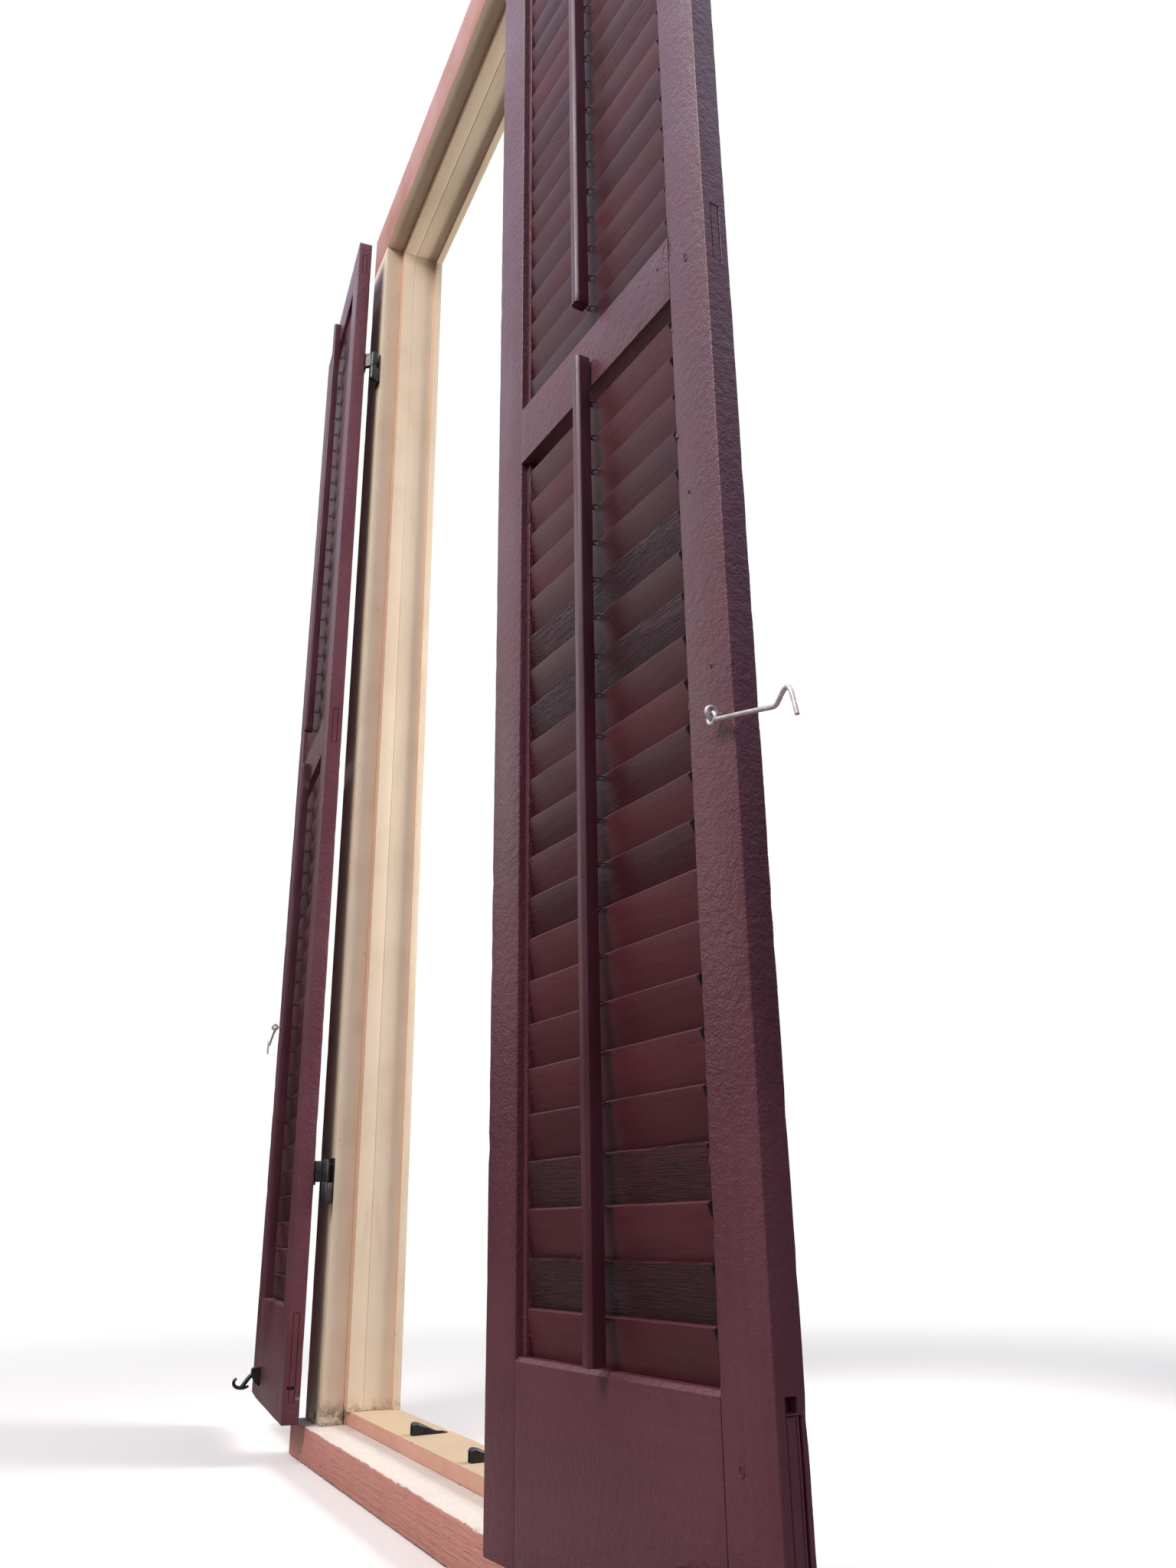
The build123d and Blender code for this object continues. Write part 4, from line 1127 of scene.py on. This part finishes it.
def frameBoard(name, outline, low, high, axis, ease, cuts, seed, coat, node, chip=frameChip):
    s = named(frameSettings)
    bm = profileBoard(outline, low, high, axis, ease, cuts)
    roughen(bm, seed, axis, s.drift, chip, s.near)
    markGrain(bm, axis, seed, s.wear)
    finishPiece(name, [bm], "window_frame", coat, [node])


def mirrored(outline, hand):
    return [(hand * a, b) for a, b in outline]


def makeCasings():
    s = named(frameSettings)
    inner, outer = s.halfOpening, s.halfOpening + s.casingWidth
    step = inner + s.rabbetWidth
    side = [(inner, -s.casingThick), (outer, -s.casingThick), (outer, 0), (step, 0),
            (step, -s.rabbet), (inner, -s.rabbet)]
    for hand, word in ((1, "right"), (-1, "left")):
        frameBoard(f"{word}HandCasing", mirrored(side, hand), s.sillTop, s.headFoot, 2,
                   s.casingEase, s.casingCuts, s.casingSeed + hand, casingCoat, f"{word}_casing")
    foot, top = s.headFoot, s.headFoot + s.casingWidth
    step = foot + s.rabbetWidth
    head = [(-s.casingThick, foot), (-s.casingThick, top), (0, top), (0, step), (-s.rabbet, step),
            (-s.rabbet, foot)]
    frameBoard("headCasing", head, -outer, outer, 0, s.casingEase, s.headCuts, s.headSeed,
               headCoat, "head_casing")


def makeJambs():
    s = named(frameSettings)
    stop, outer = s.halfOpening - s.stopStep, s.halfOpening + s.hidden
    bead, q = stop - s.beadStep, s.quirk
    side = [(outer, -s.rabbet), (outer, s.depth), (bead, s.depth), (bead, s.jambDepth),
            (stop, s.jambDepth), (stop, s.stopDepth + q), (stop + q, s.stopDepth),
            (stop, s.stopDepth - q), (stop, -s.rabbet)]
    low, top = s.headFoot - s.stopStep, s.headFoot + s.hidden
    for hand, word in ((1, "right"), (-1, "left")):
        frameBoard(f"{word}HandJamb", mirrored(side, hand), s.subTop, low - s.jambGap, 2,
                   s.jambEase, s.jambCuts, s.jambSeed + hand, jambCoat, f"{word}_jamb", s.jambChip)
    head = [(-s.rabbet, top), (s.depth, top), (s.depth, low - s.beadStep),
            (s.jambDepth, low - s.beadStep), (s.jambDepth, low), (s.stopDepth + q, low),
            (s.stopDepth, low + q), (s.stopDepth - q, low), (-s.rabbet, low)]
    frameBoard("headJamb", head, -outer, outer, 0, s.jambEase, s.headJambCuts, s.headJambSeed,
               jambCoat, "head_jamb", s.jambChip)


def makeSills():
    s = named(frameSettings)
    front = -s.casingThick - s.sillNose
    horn = s.halfOpening + s.casingWidth + s.horn
    inner = s.halfOpening + s.hidden
    board = profileBoard(rectangle(front, 0, s.sillTop - s.sillThick, s.sillTop), -horn, horn, 0, 0,
                         s.sillCuts)
    for x in (-inner, inner):
        cutAcross(board, 0, x)
    rear = [f for f in board.faces if f.normal.y > 0.9 and abs(f.calc_center_median().x) < inner]
    grown = bmesh.ops.extrude_face_region(board, geom=rear)["geom"]
    ends = [part for part in grown if isinstance(part, bmesh.types.BMVert)]
    bmesh.ops.translate(board, verts=ends, vec=(0, s.depth, 0))
    bmesh.ops.delete(board, geom=[f for f in rear if f.is_valid], context="FACES_ONLY")
    arris = [e for e in board.edges if span(e, 2) < make.flatEdge
             and all(abs(v.co.y - front) < make.flatEdge for v in e.verts)]
    easeEdges(board, arris, s.sillArris, segments=4)
    roughen(board, s.sillSeed, 0, s.sillDrift, s.sillChip, s.sillNear)
    markGrain(board, 0, s.sillSeed, s.wear)
    finishPiece("sillBoard", [board], "window_frame", sillCoat, ["sill"])
    outline = rectangle(s.subFront, s.depth, s.sillTop, s.subTop)
    frameBoard("subSillBoard", outline, -inner, inner, 0, s.subEase, s.subCuts, s.subSeed,
               subSillCoat, "sub_sill", s.subChip)


fillingSettings = {"gap": 0.0001, "end": 0.0002, "proud": 0.0006, "ease": 0.0004, "cuts": 8,
                   "drift": 0.0004, "chip": 0.0006, "near": 0.003, "wear": 0.6, "seed": 330}


# Old caulk and dirt in the slot between casing, sub-sill and sill
def makeCornerFilling():
    s, own = named(frameSettings), named(fillingSettings)
    back = s.subFront + own.proud
    parts = []
    for hand in (1, -1):
        ends = sorted((hand * (s.halfOpening + own.end), hand * (s.halfOpening + s.hidden)))
        outline = rectangle(own.gap, back, s.sillTop + own.gap, s.subTop - own.gap)
        board = profileBoard(outline, *ends, 0, own.ease, own.cuts)
        roughen(board, own.seed + hand, 0, own.drift, own.chip, own.near)
        parts.append(markGrain(board, 0, own.seed + hand, own.wear))
    finishPiece("cornerFilling", parts, "window_frame", casingCoat, None)


makeCasings()
makeJambs()
makeSills()
makeCornerFilling()
print("window frame made")


# Keepers of the closing hooks
keeperSettings = {
    "places": (-0.137, 0.083), "front": 0.017, "width": 0.014, "height": 0.015, "metal": 0.002,
    "length": 0.033, "tongue": 0.015, "round": 0.0042, "roundFrom": 0.004, "crown": 0.62,
    "heel": 1.8, "tip": 0.7, "straight": 0.010, "taper": 0.68, "mouthRim": 0.6, "mouthDeep": 0.010,
    "screw": 0.003, "screwHeight": 0.0012, "screwBack": 0.008, "screwRise": 0.8,
}


def makeKeepers():
    own = named(keeperSettings)
    base, front, metal = frameSettings["subTop"], own.front, own.metal
    crown, back = front + own.width * own.crown, front + own.length
    tip = back + own.tongue
    outline = [(front, base), (front, base + own.height), (crown, base + own.height),
               (back, base + metal * own.heel), (tip, base + metal * own.tip), (tip, base)]
    parts = []
    for x in own.places:
        hood = profileBoard(outline, x - own.width / 2, x + own.width / 2, 0, 0, 0)
        start = front + own.straight
        for vert in hood.verts:
            share = min(1.0, max(0.0, (vert.co.y - start) / (tip - start)))
            vert.co.x = x + (vert.co.x - x) * (1 - own.taper * share)
        rims = [e for e in hood.edges if max(v.co.z for v in e.verts) > base + own.roundFrom]
        easeEdges(hood, rims, own.round, segments=4, clamp=True)
        mouth = [f for f in hood.faces if f.normal.y < -0.95]
        bmesh.ops.inset_region(hood, faces=mouth, thickness=metal * own.mouthRim, depth=0)
        bmesh.ops.inset_region(hood, faces=mouth, thickness=0.0, depth=-own.mouthDeep)
        parts.append(hood)
        at = (x, back + own.screwBack, base + metal * own.screwRise)
        parts.append(screwHead(own.screw, own.screwHeight, Matrix.Translation(at)))
    finishPiece("sillKeepers", parts, "window_frame", ironCoat, ["sill_keepers"])


makeKeepers()
print("keepers made")
